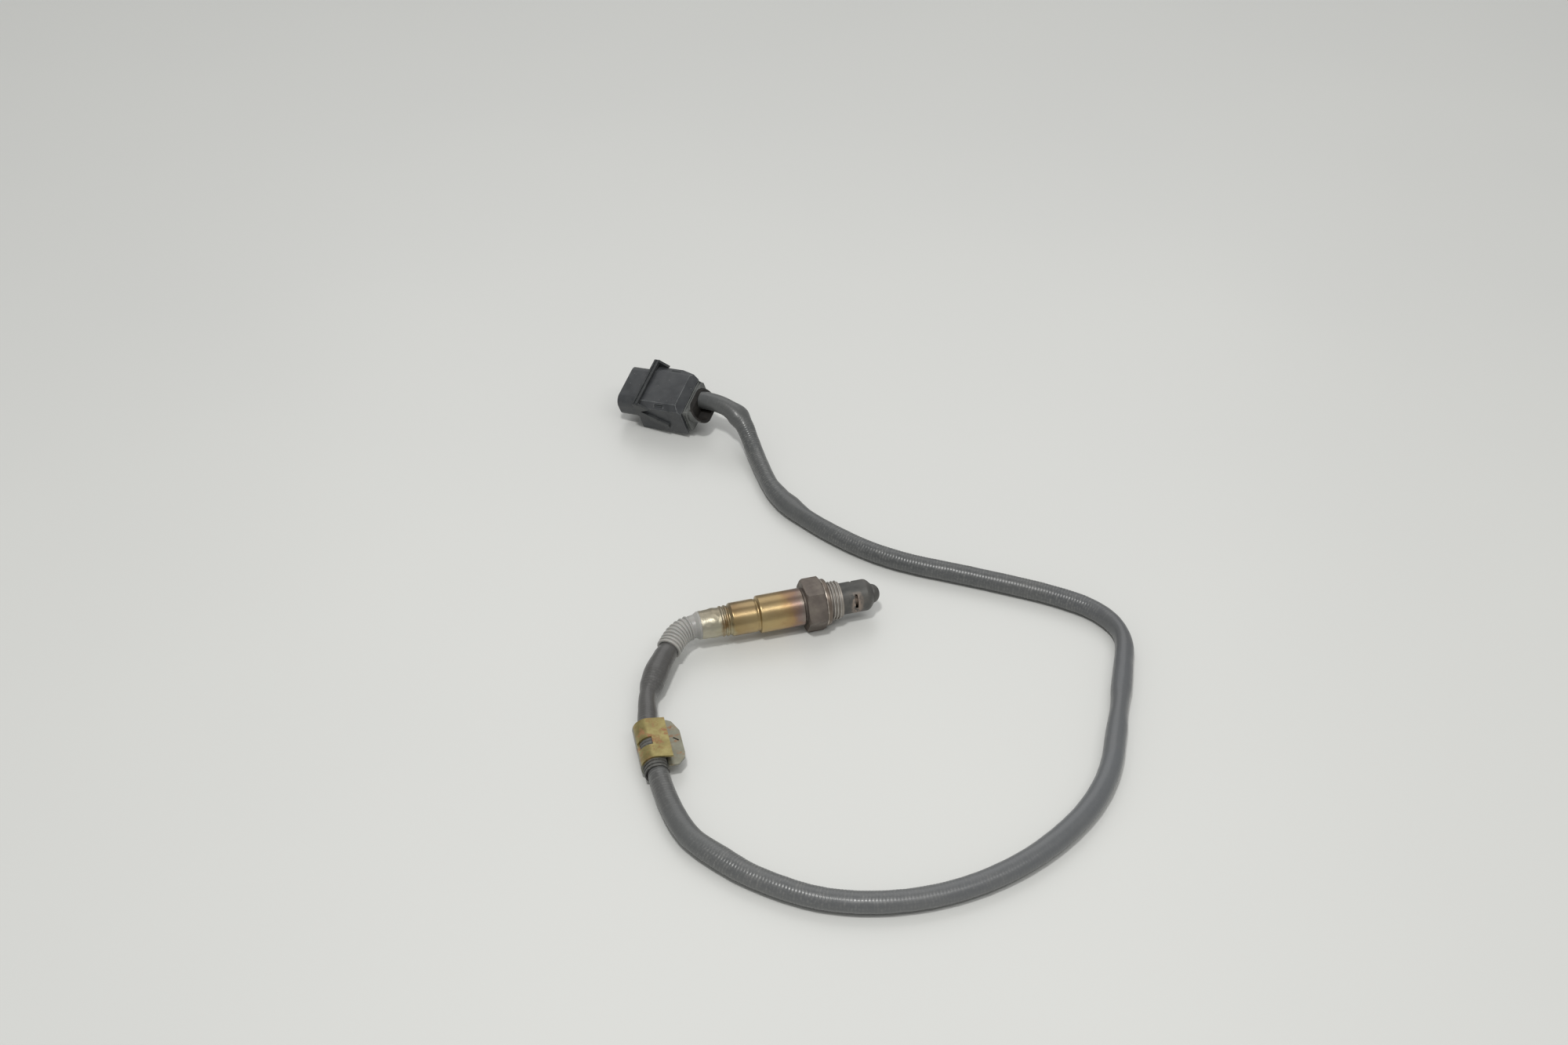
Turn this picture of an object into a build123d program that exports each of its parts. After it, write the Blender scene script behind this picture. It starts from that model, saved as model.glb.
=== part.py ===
from build123d import *
import os
from math import atan2, cos, degrees, pi, radians, sin, tan

# Exhaust oxygen sensor with its sleeved cable, cable clip and plug, lying on a flat surface.
# Millimetres. The origin is the centre of the seat plane (the thread side of the sealing ring),
# +X runs along the sensor towards the probe tip, +Z is up, and the hexagon lies on one flat.

# ---- sensor: hexagon, thread and sealing ring ----
hex_across_flats = 22.0
hex_thickness = 8.5
hex_chamfer = 1.1              # radial drop of the turned chamfer at the hexagon's corners
ring_thickness = 2.7
ring_diameter = 21.6
ring_gap = 0.2                 # radial play of the captive sealing ring on the neck
thread_diameter = 18.0
thread_length = 5.9            # from the seat plane to the end of the thread
thread_runout = 0.3            # plain neck between the seat plane and the first turn
thread_chamfer = 0.6
neck_diameter = 16.2
collar_length = 3.4            # welding collar behind the hexagon
fit_gap = 0.02                 # radial play of parts that are pressed or welded together

# ---- double protection tube ----
tube_diameter = 14.6
tube_wall = 0.5
tube_seat_depth = 4.4          # how deep the tubes sit inside the thread end
tube_reach = 13.0              # cylinder beyond the thread end
tube_cone_length = 2.3
tube_mouth_gap = 0.1           # play of the inner tube in the mouth of the outer one
tube_slot_length = 6.8         # around the tube, measured straight across
tube_slot_width = 1.4
tube_slot_count = 3
tube_slot_offset = 6.4         # from the thread end to the ring of gas inlet slots
tube_slot_turn = 68.0          # first slot, turned from the top towards the near side
inner_tube_diameter = 8.8
inner_tube_wall = 0.4
inner_hole_diameter = 1.5
inner_hole_count = 6
nose_reach = 3.7               # how far the inner tube's dome stands out of the outer cone
nose_dome_radius = 4.0
nose_hole_diameter = 1.6

# ---- sensing element and its packing ----
element_width = 4.2
element_thickness = 1.3
element_tip = 17.5             # x of the hot end
element_length = 52.0
element_gap = 0.1
packing_diameter = 11.2
packing_shoulder_bore = 9.0
packing_shoulder_length = 2.0
lower_bush_length = 4.5
talc_length = 4.0
upper_bush_length = 6.8

# ---- protective sleeve ----
sleeve_diameter = 17.3
sleeve_wall = 0.45
sleeve_weld_gap = 0.8          # visible collar between the hexagon and the sleeve
sleeve_large_length = 20.9
sleeve_groove_width = 1.2
sleeve_groove_diameter = 14.6
sleeve_small_diameter = 15.3
sleeve_small_length = 11.9
crimp_diameter = 13.1
crimp_length = 13.8
crimp_rib_rise = 0.5
crimp_rib_width = 1.4
crimp_rib_places = (1.6, 3.6)  # rib centres, measured from the shoulder
bead_place = 7.4
bead_width = 3.2
bead_rise = 0.35

# ---- contact holder, springs and leads ----
holder_gap = 0.6
holder_diameter = 11.4
holder_body_length = 16.0
holder_flange_length = 5.6
channel_width = 4.8
channel_height = 3.2
spring_width = 0.9
spring_thickness = 0.25
spring_length = 18.0
barrel_length = 3.4
lead_diameter = 1.5
conductor_diameter = 0.8
lead_pitch = 1.75
lead_row_height = 1.6
lead_play = 0.05
grommet_gap = 0.05
grommet_flange_length = 3.0
grommet_length = 14.0

# ---- strain relief boot ----
boot_plug_length = 2.6
boot_collar_length = 4.8       # smooth collar before the first rib
boot_rim_length = 0.8
boot_bore = 7.6
boot_root_diameter = 10.2
boot_rib_diameter = 11.5
boot_rib_thickness = 1.15
boot_rib_pitch = 1.85
boot_rib_count = 9
boot_bend_radius = 15.0
boot_corner_x = -68.6          # where the boot's two straight directions meet
boot_tail_length = 5.6
boot_socket_depth = 4.0
boot_socket_gap = 0.05

# ---- cable ----
cable_diameter = 9.2

# ---- cable clip and its bush ----
clip_sheet = 0.9
clip_length = 23.0
clip_along = 30.0              # from the route's first corner to the middle of the clip
clip_leaf_angle = 82.0         # where the top leaf leaves the loop
clip_leaf_length = 7.0
clip_tab_angle = -5.0          # where the strip turns up towards the tab
clip_tab_rise = 1.5            # straight stretch up to the tab
clip_tab_outline = [(9.8, -13.3), (12.9, -9.9), (13.4, -7.0), (13.4, 6.0), (10.8, 12.0), (8.8, 13.3)]
clip_window_length = 4.6       # along the cable
clip_window_place = -1.7
clip_window_edge = 0.5         # how far the window reaches past the loop's top
clip_window_foot = 2.2         # height of its lower edge above the cable's axis
clip_slit = (2.9, 0.7)
clip_slit_place = (11.0, 1.3)
bush_wall = 0.55
bush_cable_gap = 0.12
bush_clip_gap = 0.02
bush_upper_reach = 0.6
bush_lower_reach = 4.4
bush_groove_count = 2
bush_groove_width = 0.8
bush_groove_depth = 0.25

# ---- plug: its own frame has X towards the mating end and Z up from its underside ----
# The stiff cable holds its rear up, so it rests on the near front corner of its underside.
plug_place = (-40.7, 179.2)
plug_heading = 140.5
plug_pitch = 7.0               # mating end down
plug_roll = -17.0              # near side down
plug_width = 28.0
plug_height = 18.5
plug_body_length = 22.4        # flat top, from the front face to the ridge
plug_slope_length = 3.6
plug_slope_drop = 3.4
plug_near_chamfer = (3.2, 2.0)    # width and drop along the near top edge
plug_far_chamfer = (5.0, 2.4)
plug_far_bevel = 3.6           # how much the far side draws in along the slope
plug_bevel_start = 6.5         # where the far side starts to draw in, before the ridge
nose_length = 11.5
nose_width = 25.5
nose_height = 13.0
nose_axis_height = 11.0
nose_corner = 4.6
socket_width = 20.0
socket_height = 8.6
socket_corner = 3.0
socket_depth = 11.0
top_notch = (5.2, 1.5, 1.6)    # length, width and depth of the two notches in the top chamfers
top_notch_place = -13.2
carrier_gap = 0.05
carrier_width = 21.0
carrier_height = 9.4
carrier_length = 20.0
lead_chamber = (18.0, 6.4)      # width and height of the hollow behind the carrier
pin_size = 0.64
pin_reach = 5.0
pin_pitch = 2.4
pin_row_height = 1.5
pin_tail = 9.0
front_seal_thickness = 1.4
front_seal_width = 1.4
wire_seal_diameter = 2.3
wire_seal_length = 3.0
resistor_size = (6.4, 3.2, 0.9)

# ---- plug: lock frame ----
frame_thickness = 2.8
frame_top_rise = 1.9
frame_side = 1.3
frame_lip = 0.15               # how far the top bar stands out past the sides
frame_groove = 0.5
frame_arm_length = 17.0
frame_arm_height = 2.6
frame_leg_bottom = 12.0
frame_arm_drop = 8.0
frame_gusset_length = 5.0      # web that runs back from the bar over each leg
frame_gusset_drop = 4.4

# ---- plug: rear cover and cable outlet ----
cover_flange_length = 2.6
cover_rim_rise = 0.7
cover_rim_width = 0.7
outlet_length = 8.2
outlet_wall = 1.3
outlet_recess = 6.4
outlet_spare_width = 7.0       # open half of the oval beside the cable
outlet_cable_gap = 0.1
outlet_cable_offset = -1.0
outlet_axis_height = 10.6
outlet_scoop = 7.8             # how far its open end is cut back along the top

# ---- places worked out from the sizes above ----
floor_z = -hex_across_flats / 2
hex_front = -ring_thickness
hex_rear = hex_front - hex_thickness
collar_rear = hex_rear - collar_length
sleeve_bore = sleeve_diameter - 2 * sleeve_wall
collar_diameter = sleeve_bore - 2 * fit_gap
tube_base = thread_length - tube_seat_depth
tube_cylinder_end = thread_length + tube_reach
tube_cone_end = tube_cylinder_end + tube_cone_length
tube_mouth_diameter = inner_tube_diameter + 2 * tube_mouth_gap
packing_front = tube_base - packing_shoulder_length
lower_bush_rear = packing_front - lower_bush_length
talc_rear = lower_bush_rear - talc_length
upper_bush_rear = talc_rear - upper_bush_length
sleeve_front = hex_rear - sleeve_weld_gap
groove_front = sleeve_front - sleeve_large_length
small_front = groove_front - sleeve_groove_width
shoulder_x = small_front - sleeve_small_length
sleeve_end = shoulder_x - crimp_length
holder_front = upper_bush_rear - holder_gap
holder_flange_front = min(holder_front - holder_body_length, small_front)
holder_rear = holder_flange_front - holder_flange_length
small_bore = sleeve_small_diameter - 2 * sleeve_wall
crimp_bore = crimp_diameter - 2 * sleeve_wall
spring_front = holder_rear + spring_length
barrel_rear = holder_rear - barrel_length
grommet_front = shoulder_x + grommet_flange_length
grommet_rear = sleeve_end + boot_plug_length
cable_radius = cable_diameter / 2
cable_rest_z = floor_z + cable_radius
bush_bore_radius = cable_radius + bush_cable_gap
bush_radius = bush_bore_radius + bush_wall
clip_axis_z = floor_z + clip_sheet + bush_clip_gap + bush_radius
seal_space_front = -carrier_length
plug_rear = -(plug_body_length + plug_slope_length)
cover_rear = plug_rear - cover_flange_length
outlet_rear = cover_rear - outlet_length
cable_seat_x = outlet_rear + outlet_recess


def disc(front, rear, diameter):
    """Solid cylinder on the X axis between two stations."""
    return Pos((front + rear) / 2, 0, 0) * Rot(0, 90, 0) * Cylinder(diameter / 2, abs(front - rear))


def pipe(front, rear, outer, inner):
    """Tube on the X axis between two stations."""
    return disc(front, rear, outer) - disc(front + 1, rear - 1, inner)


def turned(points):
    """Solid of revolution about X from (x, radius) points of a closed outline."""
    outline = make_face(Polyline(*[(x, r) for x, r in points], close=True))
    return revolve(outline, axis=Axis.X, revolution_arc=360)


def thin_turned(points, corner_radii, wall):
    """Drawn shell about X: an outer line of (x, radius) points with rounded corners, and its wall."""
    outer = FilletPolyline(*points, radius=corner_radii)
    inner = FilletPolyline(*[(x, r - wall) for x, r in points], radius=corner_radii)
    ends = [Line(outer @ 0, inner @ 0), Line(outer @ 1, inner @ 1)]
    return revolve(make_face([outer, inner] + ends), axis=Axis.X, revolution_arc=360)


def round_ring(x, diameter, thickness):
    """Small torus around the X axis, the crest of a rolled rib."""
    return Pos(x, 0, 0) * Rot(0, 90, 0) * Torus(diameter / 2 - thickness / 2, thickness / 2)


def slot_ring(x, across, length, width, count, turn):
    """Round-ended slots lying around the X axis."""
    slot = Pos(x, 0, 0) * extrude(Rot(0, 0, 90) * SlotOverall(length, width), across)
    return [Rot(turn + 360 * i / count, 0, 0) * slot for i in range(count)]


def hole_ring(x, across, diameter, count):
    """Radial holes, evenly spaced around the X axis."""
    hole = Pos(x, 0, across / 2) * Cylinder(diameter / 2, across)
    return [Rot(360 * i / count, 0, 0) * hole for i in range(count)]


def lead_places():
    """(y, z) of the five leads in the sensor: three above the element and two below it."""
    upper = [(lead_pitch * k, lead_row_height) for k in (-1, 0, 1)]
    lower = [(lead_pitch * k, -lead_row_height) for k in (-0.5, 0.5)]
    return upper + lower


def element_slot(front, rear):
    """Slot for the flat element through a packing piece."""
    width = element_width + 2 * element_gap
    height = element_thickness + 2 * element_gap
    return Pos((front + rear) / 2, 0, 0) * Box(abs(front - rear) + 2, width, height)


# ---- sensor pieces ----
def make_sensor_housing():
    prism = Rot(0, 90, 0) * extrude(RegularPolygon(hex_across_flats / 2, 6, major_radius=False), hex_thickness)
    prism = Pos(hex_rear, 0, 0) * Rot(90, 0, 0) * prism
    corner = hex_across_flats / 2 / cos(pi / 6)
    slope = hex_chamfer * tan(radians(35))
    chamfers = turned([(hex_rear, 0), (hex_rear, corner - hex_chamfer), (hex_rear + slope, corner),
                       (hex_front - slope, corner), (hex_front, corner - hex_chamfer), (hex_front, 0)])
    body = prism & chamfers
    neck_r = neck_diameter / 2
    crest_r = thread_diameter / 2
    body += turned([
        (collar_rear, 0), (collar_rear, collar_diameter / 2), (hex_rear + 1, collar_diameter / 2),
        (hex_rear + 1, neck_r), (thread_runout, neck_r), (thread_runout, crest_r - thread_chamfer),
        (thread_runout + thread_chamfer, crest_r), (thread_length - thread_chamfer, crest_r),
        (thread_length, crest_r - thread_chamfer), (thread_length, 0)])
    body -= disc(thread_length + 1, tube_base, tube_diameter + 2 * fit_gap)
    body -= disc(tube_base + 1, packing_front, packing_shoulder_bore)
    body -= disc(packing_front, collar_rear - 1, packing_diameter)
    return body


def make_sealing_ring():
    inner_r = neck_diameter / 2 + ring_gap
    section = Pos(-ring_thickness / 2, (inner_r + ring_diameter / 2) / 2) * Rectangle(
        ring_thickness, ring_diameter / 2 - inner_r)
    section = fillet(section.vertices(), ring_thickness * 0.32)
    return revolve(section, axis=Axis.X, revolution_arc=360)


def make_protection_tube_outer():
    r = tube_diameter / 2
    mouth = tube_mouth_diameter / 2
    foot = packing_shoulder_bore / 2
    shell = turned([
        (tube_base, foot), (tube_base, r), (tube_cylinder_end, r), (tube_cone_end, mouth + tube_wall * 0.6),
        (tube_cone_end, mouth), (tube_cone_end - tube_wall, mouth), (tube_cylinder_end - tube_wall / 2, r - tube_wall),
        (tube_base + tube_wall, r - tube_wall), (tube_base + tube_wall, foot)])
    for slot in slot_ring(thread_length + tube_slot_offset, tube_diameter, tube_slot_length, tube_slot_width,
                          tube_slot_count, tube_slot_turn):
        shell -= slot
    return shell


def make_protection_tube_inner():
    r = inner_tube_diameter / 2
    foot = tube_base + tube_wall
    flange = tube_diameter / 2 - tube_wall - fit_gap
    tip = tube_cone_end + nose_reach
    dome = nose_reach * 0.85
    profile = [(foot, r - inner_tube_wall), (foot, flange), (foot + inner_tube_wall, flange),
               (foot + inner_tube_wall, r), (tip - dome, r)]
    outer = Polyline(*profile)
    nose = RadiusArc((tip - dome, r), (tip, nose_hole_diameter / 2), nose_dome_radius)
    inner_r = r - inner_tube_wall
    mouth = Line((tip, nose_hole_diameter / 2), (tip - inner_tube_wall, nose_hole_diameter / 2))
    inner_nose = RadiusArc((tip - dome, inner_r), (tip - inner_tube_wall, nose_hole_diameter / 2),
                           nose_dome_radius - inner_tube_wall)
    bore = Line((tip - dome, inner_r), (foot, inner_r))
    shell = revolve(make_face([outer, nose, mouth, inner_nose, bore]), axis=Axis.X, revolution_arc=360)
    for hole in hole_ring(tube_cylinder_end - 2.5, inner_tube_diameter, inner_hole_diameter, inner_hole_count):
        shell -= hole
    return shell


def make_sensing_element():
    strip = Pos(element_tip - element_length / 2, 0, 0) * Box(element_length, element_width, element_thickness)
    return chamfer(strip.edges().filter_by(Axis.X), 0.2)


def make_packing(front, rear):
    return disc(front, rear, packing_diameter - 2 * fit_gap) - element_slot(front, rear)


def make_contact_holder():
    body = disc(holder_front, holder_flange_front, holder_diameter)
    body += disc(holder_flange_front, holder_rear, small_bore - 2 * grommet_gap)
    channel = Box(holder_front - holder_rear + 2, channel_width, channel_height)
    return body - Pos((holder_front + holder_rear) / 2, 0, 0) * channel


def make_contact_springs():
    springs = []
    for y, z in lead_places():
        side = 1 if z > 0 else -1
        strip_y = y * (element_width - spring_width) / (2 * lead_pitch) * 0.9
        strip_z = side * (element_thickness + spring_thickness) / 2
        strip = Pos((spring_front + barrel_rear + barrel_length) / 2, strip_y, strip_z) * Box(
            spring_front - holder_rear, spring_width, spring_thickness)
        drop = abs(z) - element_thickness / 2
        link = Pos(holder_rear - 0.3, (strip_y + y) / 2, side * (element_thickness + drop) / 2) * Box(
            0.6, spring_width + abs(y - strip_y), drop)
        barrel = Pos(0, y, z) * pipe(holder_rear - 0.3, barrel_rear, lead_diameter, conductor_diameter)
        springs.append(strip + link + barrel)
    return Compound(children=springs)


def lead_path(start_x):
    """Centre line from a station on the sensor's axis, round the boot's bend, to the cable's end."""
    return FilletPolyline((start_x, 0, 0), boot_corner, cable_start, radius=boot_bend_radius)


def make_sensor_leads():
    path = lead_path(barrel_rear)
    wires = []
    for y, z in lead_places():
        section = Plane(origin=(barrel_rear, 0, 0), x_dir=(0, 1, 0), z_dir=(-1, 0, 0))
        insulation = sweep(section * Pos(y, -z) * Circle(lead_diameter / 2), path=path)
        conductor = Pos(0, y, z) * disc(barrel_rear + barrel_length - 0.8, barrel_rear, conductor_diameter)
        wires.append(insulation + conductor)
    return Compound(children=wires)


def make_cable_grommet():
    body = disc(grommet_front, shoulder_x + sleeve_wall + 0.3, small_bore - 2 * grommet_gap)
    body += disc(shoulder_x + sleeve_wall + 0.3, grommet_rear, crimp_bore - 2 * grommet_gap)
    for y, z in lead_places():
        body -= Pos(0, y, z) * disc(grommet_front + 1, grommet_rear - 1, lead_diameter + 2 * lead_play)
    return body


def make_protective_sleeve():
    large_r = sleeve_diameter / 2
    groove_r = sleeve_groove_diameter / 2
    small_r = sleeve_small_diameter / 2
    crimp_r = crimp_diameter / 2
    points = [(sleeve_front, large_r), (groove_front, large_r), (groove_front - 0.25, groove_r),
              (small_front + 0.25, groove_r), (small_front, small_r), (shoulder_x, small_r),
              (shoulder_x - 0.6, crimp_r), (sleeve_end, crimp_r)]
    shell = thin_turned(points, [0.5, 0.12, 0.1, 0.2, 0.5, 0.4], sleeve_wall)
    for place in crimp_rib_places:
        x = shoulder_x - place
        rib = turned([(x + crimp_rib_width / 2, crimp_r - 0.1), (x + crimp_rib_width / 4, crimp_r + crimp_rib_rise),
                      (x - crimp_rib_width / 4, crimp_r + crimp_rib_rise), (x - crimp_rib_width / 2, crimp_r - 0.1)])
        shell += rib
    x = shoulder_x - bead_place
    bead = make_face([ThreePointArc((x + bead_width / 2, crimp_r), (x, crimp_r + bead_rise), (x - bead_width / 2, crimp_r)),
                      Polyline((x - bead_width / 2, crimp_r), (x - bead_width / 2, crimp_r - 0.1),
                               (x + bead_width / 2, crimp_r - 0.1), (x + bead_width / 2, crimp_r))])
    shell += revolve(bead, axis=Axis.X, revolution_arc=360)
    return shell


def make_strain_relief_boot():
    start = Plane(origin=(sleeve_end, 0, 0), x_dir=(0, 1, 0), z_dir=(-1, 0, 0))
    end = Plane(origin=cable_start, x_dir=Vector(0, 0, 1).cross(boot_direction), z_dir=boot_direction)
    whole = FilletPolyline((sleeve_end, 0, 0), boot_corner, boot_end, radius=boot_bend_radius)
    root = boot_root_diameter / 2
    plug_r = crimp_bore / 2 - grommet_gap
    rim_r = crimp_diameter / 2 - 0.15
    waist_x = sleeve_end - boot_rim_length * 3
    plug = turned([(grommet_rear, 0), (grommet_rear, plug_r), (sleeve_end, plug_r), (sleeve_end, rim_r),
                   (sleeve_end - boot_rim_length, rim_r), (waist_x, root + 0.3),
                   (sleeve_end - boot_collar_length, root - 0.05), (sleeve_end - boot_collar_length, 0)])
    rib = Torus(boot_rib_diameter / 2 - boot_rib_thickness / 2, boot_rib_thickness / 2)
    first = boot_collar_length + boot_rib_thickness / 2
    ribs = [whole.location_at(first + i * boot_rib_pitch, position_mode=PositionMode.LENGTH) * rib
            for i in range(boot_rib_count)]
    body = sweep(start * Circle(root), path=whole).fuse(plug, *ribs)
    bore = sweep(start * Circle(boot_bore / 2), path=lead_path(sleeve_end))
    socket = extrude(end * Circle(cable_radius + boot_socket_gap), boot_socket_depth + 2)
    return body - disc(grommet_rear + 1, sleeve_end, boot_bore) - bore - socket


# ---- cable route ----
cable_route_middle = [          # corners of the route between the boot and the plug, seen from above
    (-95.3, -34.0), (-98.4, -97.0), (-89.3, -126.6), (-67.5, -151.4), (-36.5, -169.0), (4.5, -173.2),
    (45.5, -162.0), (81.8, -136.6), (102.3, -98.6), (116.8, -70.2), (125.6, -51.8), (121.5, -33.8),
    (106.0, -17.4), (73.5, 5.5), (38.0, 28.5), (14.5, 58.5), (0.0, 88.0), (-0.8, 117.5), (-1.6, 136.0)]
cable_lift = {0: clip_axis_z, 1: clip_axis_z, 18: cable_rest_z + 5.8}   # corners held off the surface


def plug_frame():
    lift = plug_width / 2 * cos(radians(plug_pitch)) * sin(radians(-plug_roll))
    turned_frame = Rot(0, 0, plug_heading) * Rot(0, plug_pitch, 0) * Rot(plug_roll, 0, 0)
    return Pos(plug_place[0], plug_place[1], floor_z + lift) * turned_frame


def plug_point(x, y, z):
    """A point of the plug's own frame, in the sensor's frame."""
    return (plug_frame() * Pos(x, y, z)).position


boot_corner = Vector(boot_corner_x, 0, 0)
first_bend = Vector(*cable_route_middle[0], cable_lift[0])
boot_direction = (first_bend - boot_corner).normalized()
boot_half_turn = (first_bend - boot_corner).get_angle(Vector(-1, 0, 0)) / 2
boot_tangent = boot_bend_radius * tan(radians(boot_half_turn))
cable_start = boot_corner + boot_direction * (boot_tangent + boot_tail_length - boot_socket_depth)
boot_end = cable_start + boot_direction * boot_socket_depth
cable_end = plug_point(cable_seat_x, outlet_cable_offset, outlet_axis_height)
plug_bend = plug_point(outlet_rear - 9.6, outlet_cable_offset, outlet_axis_height)


def cable_points():
    points = [cable_start]
    for i, (x, y) in enumerate(cable_route_middle):
        points.append(Vector(x, y, cable_lift.get(i, cable_rest_z)))
    return points + [plug_bend, cable_end]


def bend_radii(points):
    """Largest tangent arc that each corner's two runs allow."""
    radii = []
    for before, corner, after in zip(points, points[1:], points[2:]):
        run_in = corner - before
        run_out = after - corner
        half_turn = radians(run_in.get_angle(run_out)) / 2
        radii.append(0.45 * min(run_in.length, run_out.length) / tan(half_turn))
    return radii


def make_cable_sleeve():
    points = cable_points()
    radii = bend_radii(points)
    path = FilletPolyline(*points, radius=radii)
    section = Plane(origin=points[0], x_dir=Vector(0, 0, 1).cross(boot_direction), z_dir=boot_direction)
    tube = sweep(section * Circle(cable_radius), path=path)
    print("cable bend radii", [round(r, 1) for r in radii])
    print("cable length", round(path.length, 1), "volume over section x length",
          round(tube.volume / (pi * cable_radius ** 2 * path.length), 5))
    return tube


# ---- clip ----
def clip_frame():
    """Frame at the clip's middle on the cable's axis, its Y along the cable towards the boot."""
    start = Vector(*cable_route_middle[0], clip_axis_z)
    run = Vector(*cable_route_middle[1], clip_axis_z) - start
    middle = start + run.normalized() * clip_along
    return Location((middle.X, middle.Y, middle.Z), (0, 0, degrees(atan2(-run.Y, -run.X)) - 90))


def make_cable_clip():
    r = bush_radius + bush_clip_gap + clip_sheet / 2
    leaf = radians(clip_leaf_angle)
    tab = radians(clip_tab_angle)
    loop = CenterArc((0, 0), r, clip_tab_angle, -(360 + clip_tab_angle - clip_leaf_angle))
    leaf_start = Vector(r * cos(leaf), r * sin(leaf))
    leaf_end = leaf_start + Vector(sin(leaf), -cos(leaf)) * clip_leaf_length
    tab_start = Vector(r * cos(tab), r * sin(tab))
    tab_foot = tab_start + Vector(-sin(tab), cos(tab)) * clip_tab_rise
    strip = trace([loop, Line(leaf_start, leaf_end), Line(tab_foot, tab_start)], clip_sheet)
    sheet = Pos(0, clip_length / 2, 0) * extrude(Plane.XZ * strip, clip_length)
    near_y, far_y = clip_tab_outline[0][1], clip_tab_outline[-1][1]
    inner_x = tab_foot.X - clip_sheet / 2
    plate = make_face(Polyline((inner_x, near_y), *clip_tab_outline, (inner_x, far_y), close=True))
    slit = Pos(*clip_slit_place) * Rot(0, 0, -43) * Rectangle(*clip_slit)
    sheet += Pos(0, 0, tab_foot.Y - clip_sheet / 2) * extrude(plate - slit, clip_sheet)
    window_x = (clip_window_edge - 2 * r) / 2
    window = Pos(window_x, clip_window_place, clip_window_foot + r) * Box(
        2 * r + clip_window_edge, clip_window_length, 2 * r)
    return clip_frame() * (sheet - window)


def make_clip_bush():
    top = clip_length / 2 + bush_upper_reach
    bottom = -clip_length / 2 - bush_lower_reach
    upright = Rot(90, 0, 0)
    bush = Pos(0, (top + bottom) / 2, 0) * upright * Cylinder(bush_radius, top - bottom)
    bush -= Pos(0, (top + bottom) / 2, 0) * upright * Cylinder(bush_bore_radius, top - bottom + 2)
    pitch = bush_lower_reach / (bush_groove_count + 0.5)
    for i in range(bush_groove_count):
        y = -clip_length / 2 - pitch * (i + 0.75)
        groove = Cylinder(bush_radius + 1, bush_groove_width) - Cylinder(
            bush_radius - bush_groove_depth, bush_groove_width)
        bush -= Pos(0, y, 0) * upright * groove
    return clip_frame() * bush


# ---- plug ----
def slab(x_front, x_rear, width, height, corner, y=0, z=0):
    """Bar along the plug's X axis with a rounded rectangular section."""
    section = Plane(origin=(x_rear, y, z), x_dir=(0, 1, 0), z_dir=(1, 0, 0)) * RectangleRounded(width, height, corner)
    return extrude(section, x_front - x_rear)


def side_profile(points, width):
    """Plate cut to an (x, z) outline, centred across the plug."""
    outline = make_face(Polyline(*points, close=True))
    return Pos(0, width / 2, 0) * extrude(Plane.XZ * outline, width)


def plan_cut(points):
    """Upright column over an (x, y) outline, taller than the plug."""
    outline = make_face(Polyline(*points, close=True))
    return Pos(0, 0, -plug_height) * extrude(outline, 3 * plug_height)


def lead_grid():
    """(y, z) of the six terminals; the last one serves the trim resistor."""
    rows = (nose_axis_height - pin_row_height, nose_axis_height + pin_row_height)
    return [(pin_pitch * k, z) for z in rows for k in (-1, 0, 1)]


def make_connector_housing():
    ridge = -plug_body_length
    rear_height = plug_height - plug_slope_drop
    half = plug_width / 2
    body = side_profile([(0, 0), (0, plug_height), (ridge, plug_height), (plug_rear, rear_height), (plug_rear, 0)],
                        plug_width)
    near_width, near_drop = plug_near_chamfer
    far_width, far_drop = plug_far_chamfer
    section = Polyline((-half, 0), (-half, plug_height - far_drop), (-half + far_width, plug_height),
                       (half - near_width, plug_height), (half, plug_height - near_drop), (half, 0), close=True)
    body &= extrude(Plane(origin=(1, 0, 0), x_dir=(0, 1, 0), z_dir=(1, 0, 0)) * make_face(section), 2 * plug_rear)
    body -= plan_cut([(ridge + plug_bevel_start, -half - 1), (ridge + plug_bevel_start, -half),
                      (plug_rear - 1, -half + plug_far_bevel + 0.4), (plug_rear - 1, -half - 1)])
    body += slab(nose_length, -1, nose_width, nose_height, nose_corner, z=nose_axis_height)
    body -= slab(nose_length + 1, nose_length - socket_depth, socket_width, socket_height, socket_corner,
                 z=nose_axis_height)
    body -= slab(nose_length - socket_depth, -carrier_length, carrier_width, carrier_height, 1.0,
                 z=nose_axis_height)
    body -= slab(-carrier_length, plug_rear - 1, lead_chamber[0], lead_chamber[1], 1.0, z=nose_axis_height)
    for y, drop in ((half - near_width / 2, near_drop), (far_width / 2 - half, far_drop)):
        body -= Pos(top_notch_place, y, plug_height - drop / 2) * Box(*top_notch)
    return plug_frame() * body


def make_terminal_carrier():
    front = nose_length - socket_depth
    body = slab(front, -carrier_length, carrier_width - 2 * carrier_gap, carrier_height - 2 * carrier_gap, 0.9,
                z=nose_axis_height)
    for y, z in lead_grid():
        body -= Pos((front - carrier_length) / 2, y, z) * Box(front + carrier_length + 2, pin_size, pin_size)
        body -= Pos(-carrier_length, y, z) * Rot(0, 90, 0) * Cylinder(wire_seal_diameter / 2, 2 * wire_seal_length)
    length, width, height = resistor_size
    body -= Pos(-carrier_length / 2, carrier_width / 2 - width, nose_axis_height + carrier_height / 2) * Box(
        length + 0.2, width + 0.2, 2 * height)
    return plug_frame() * body


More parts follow.
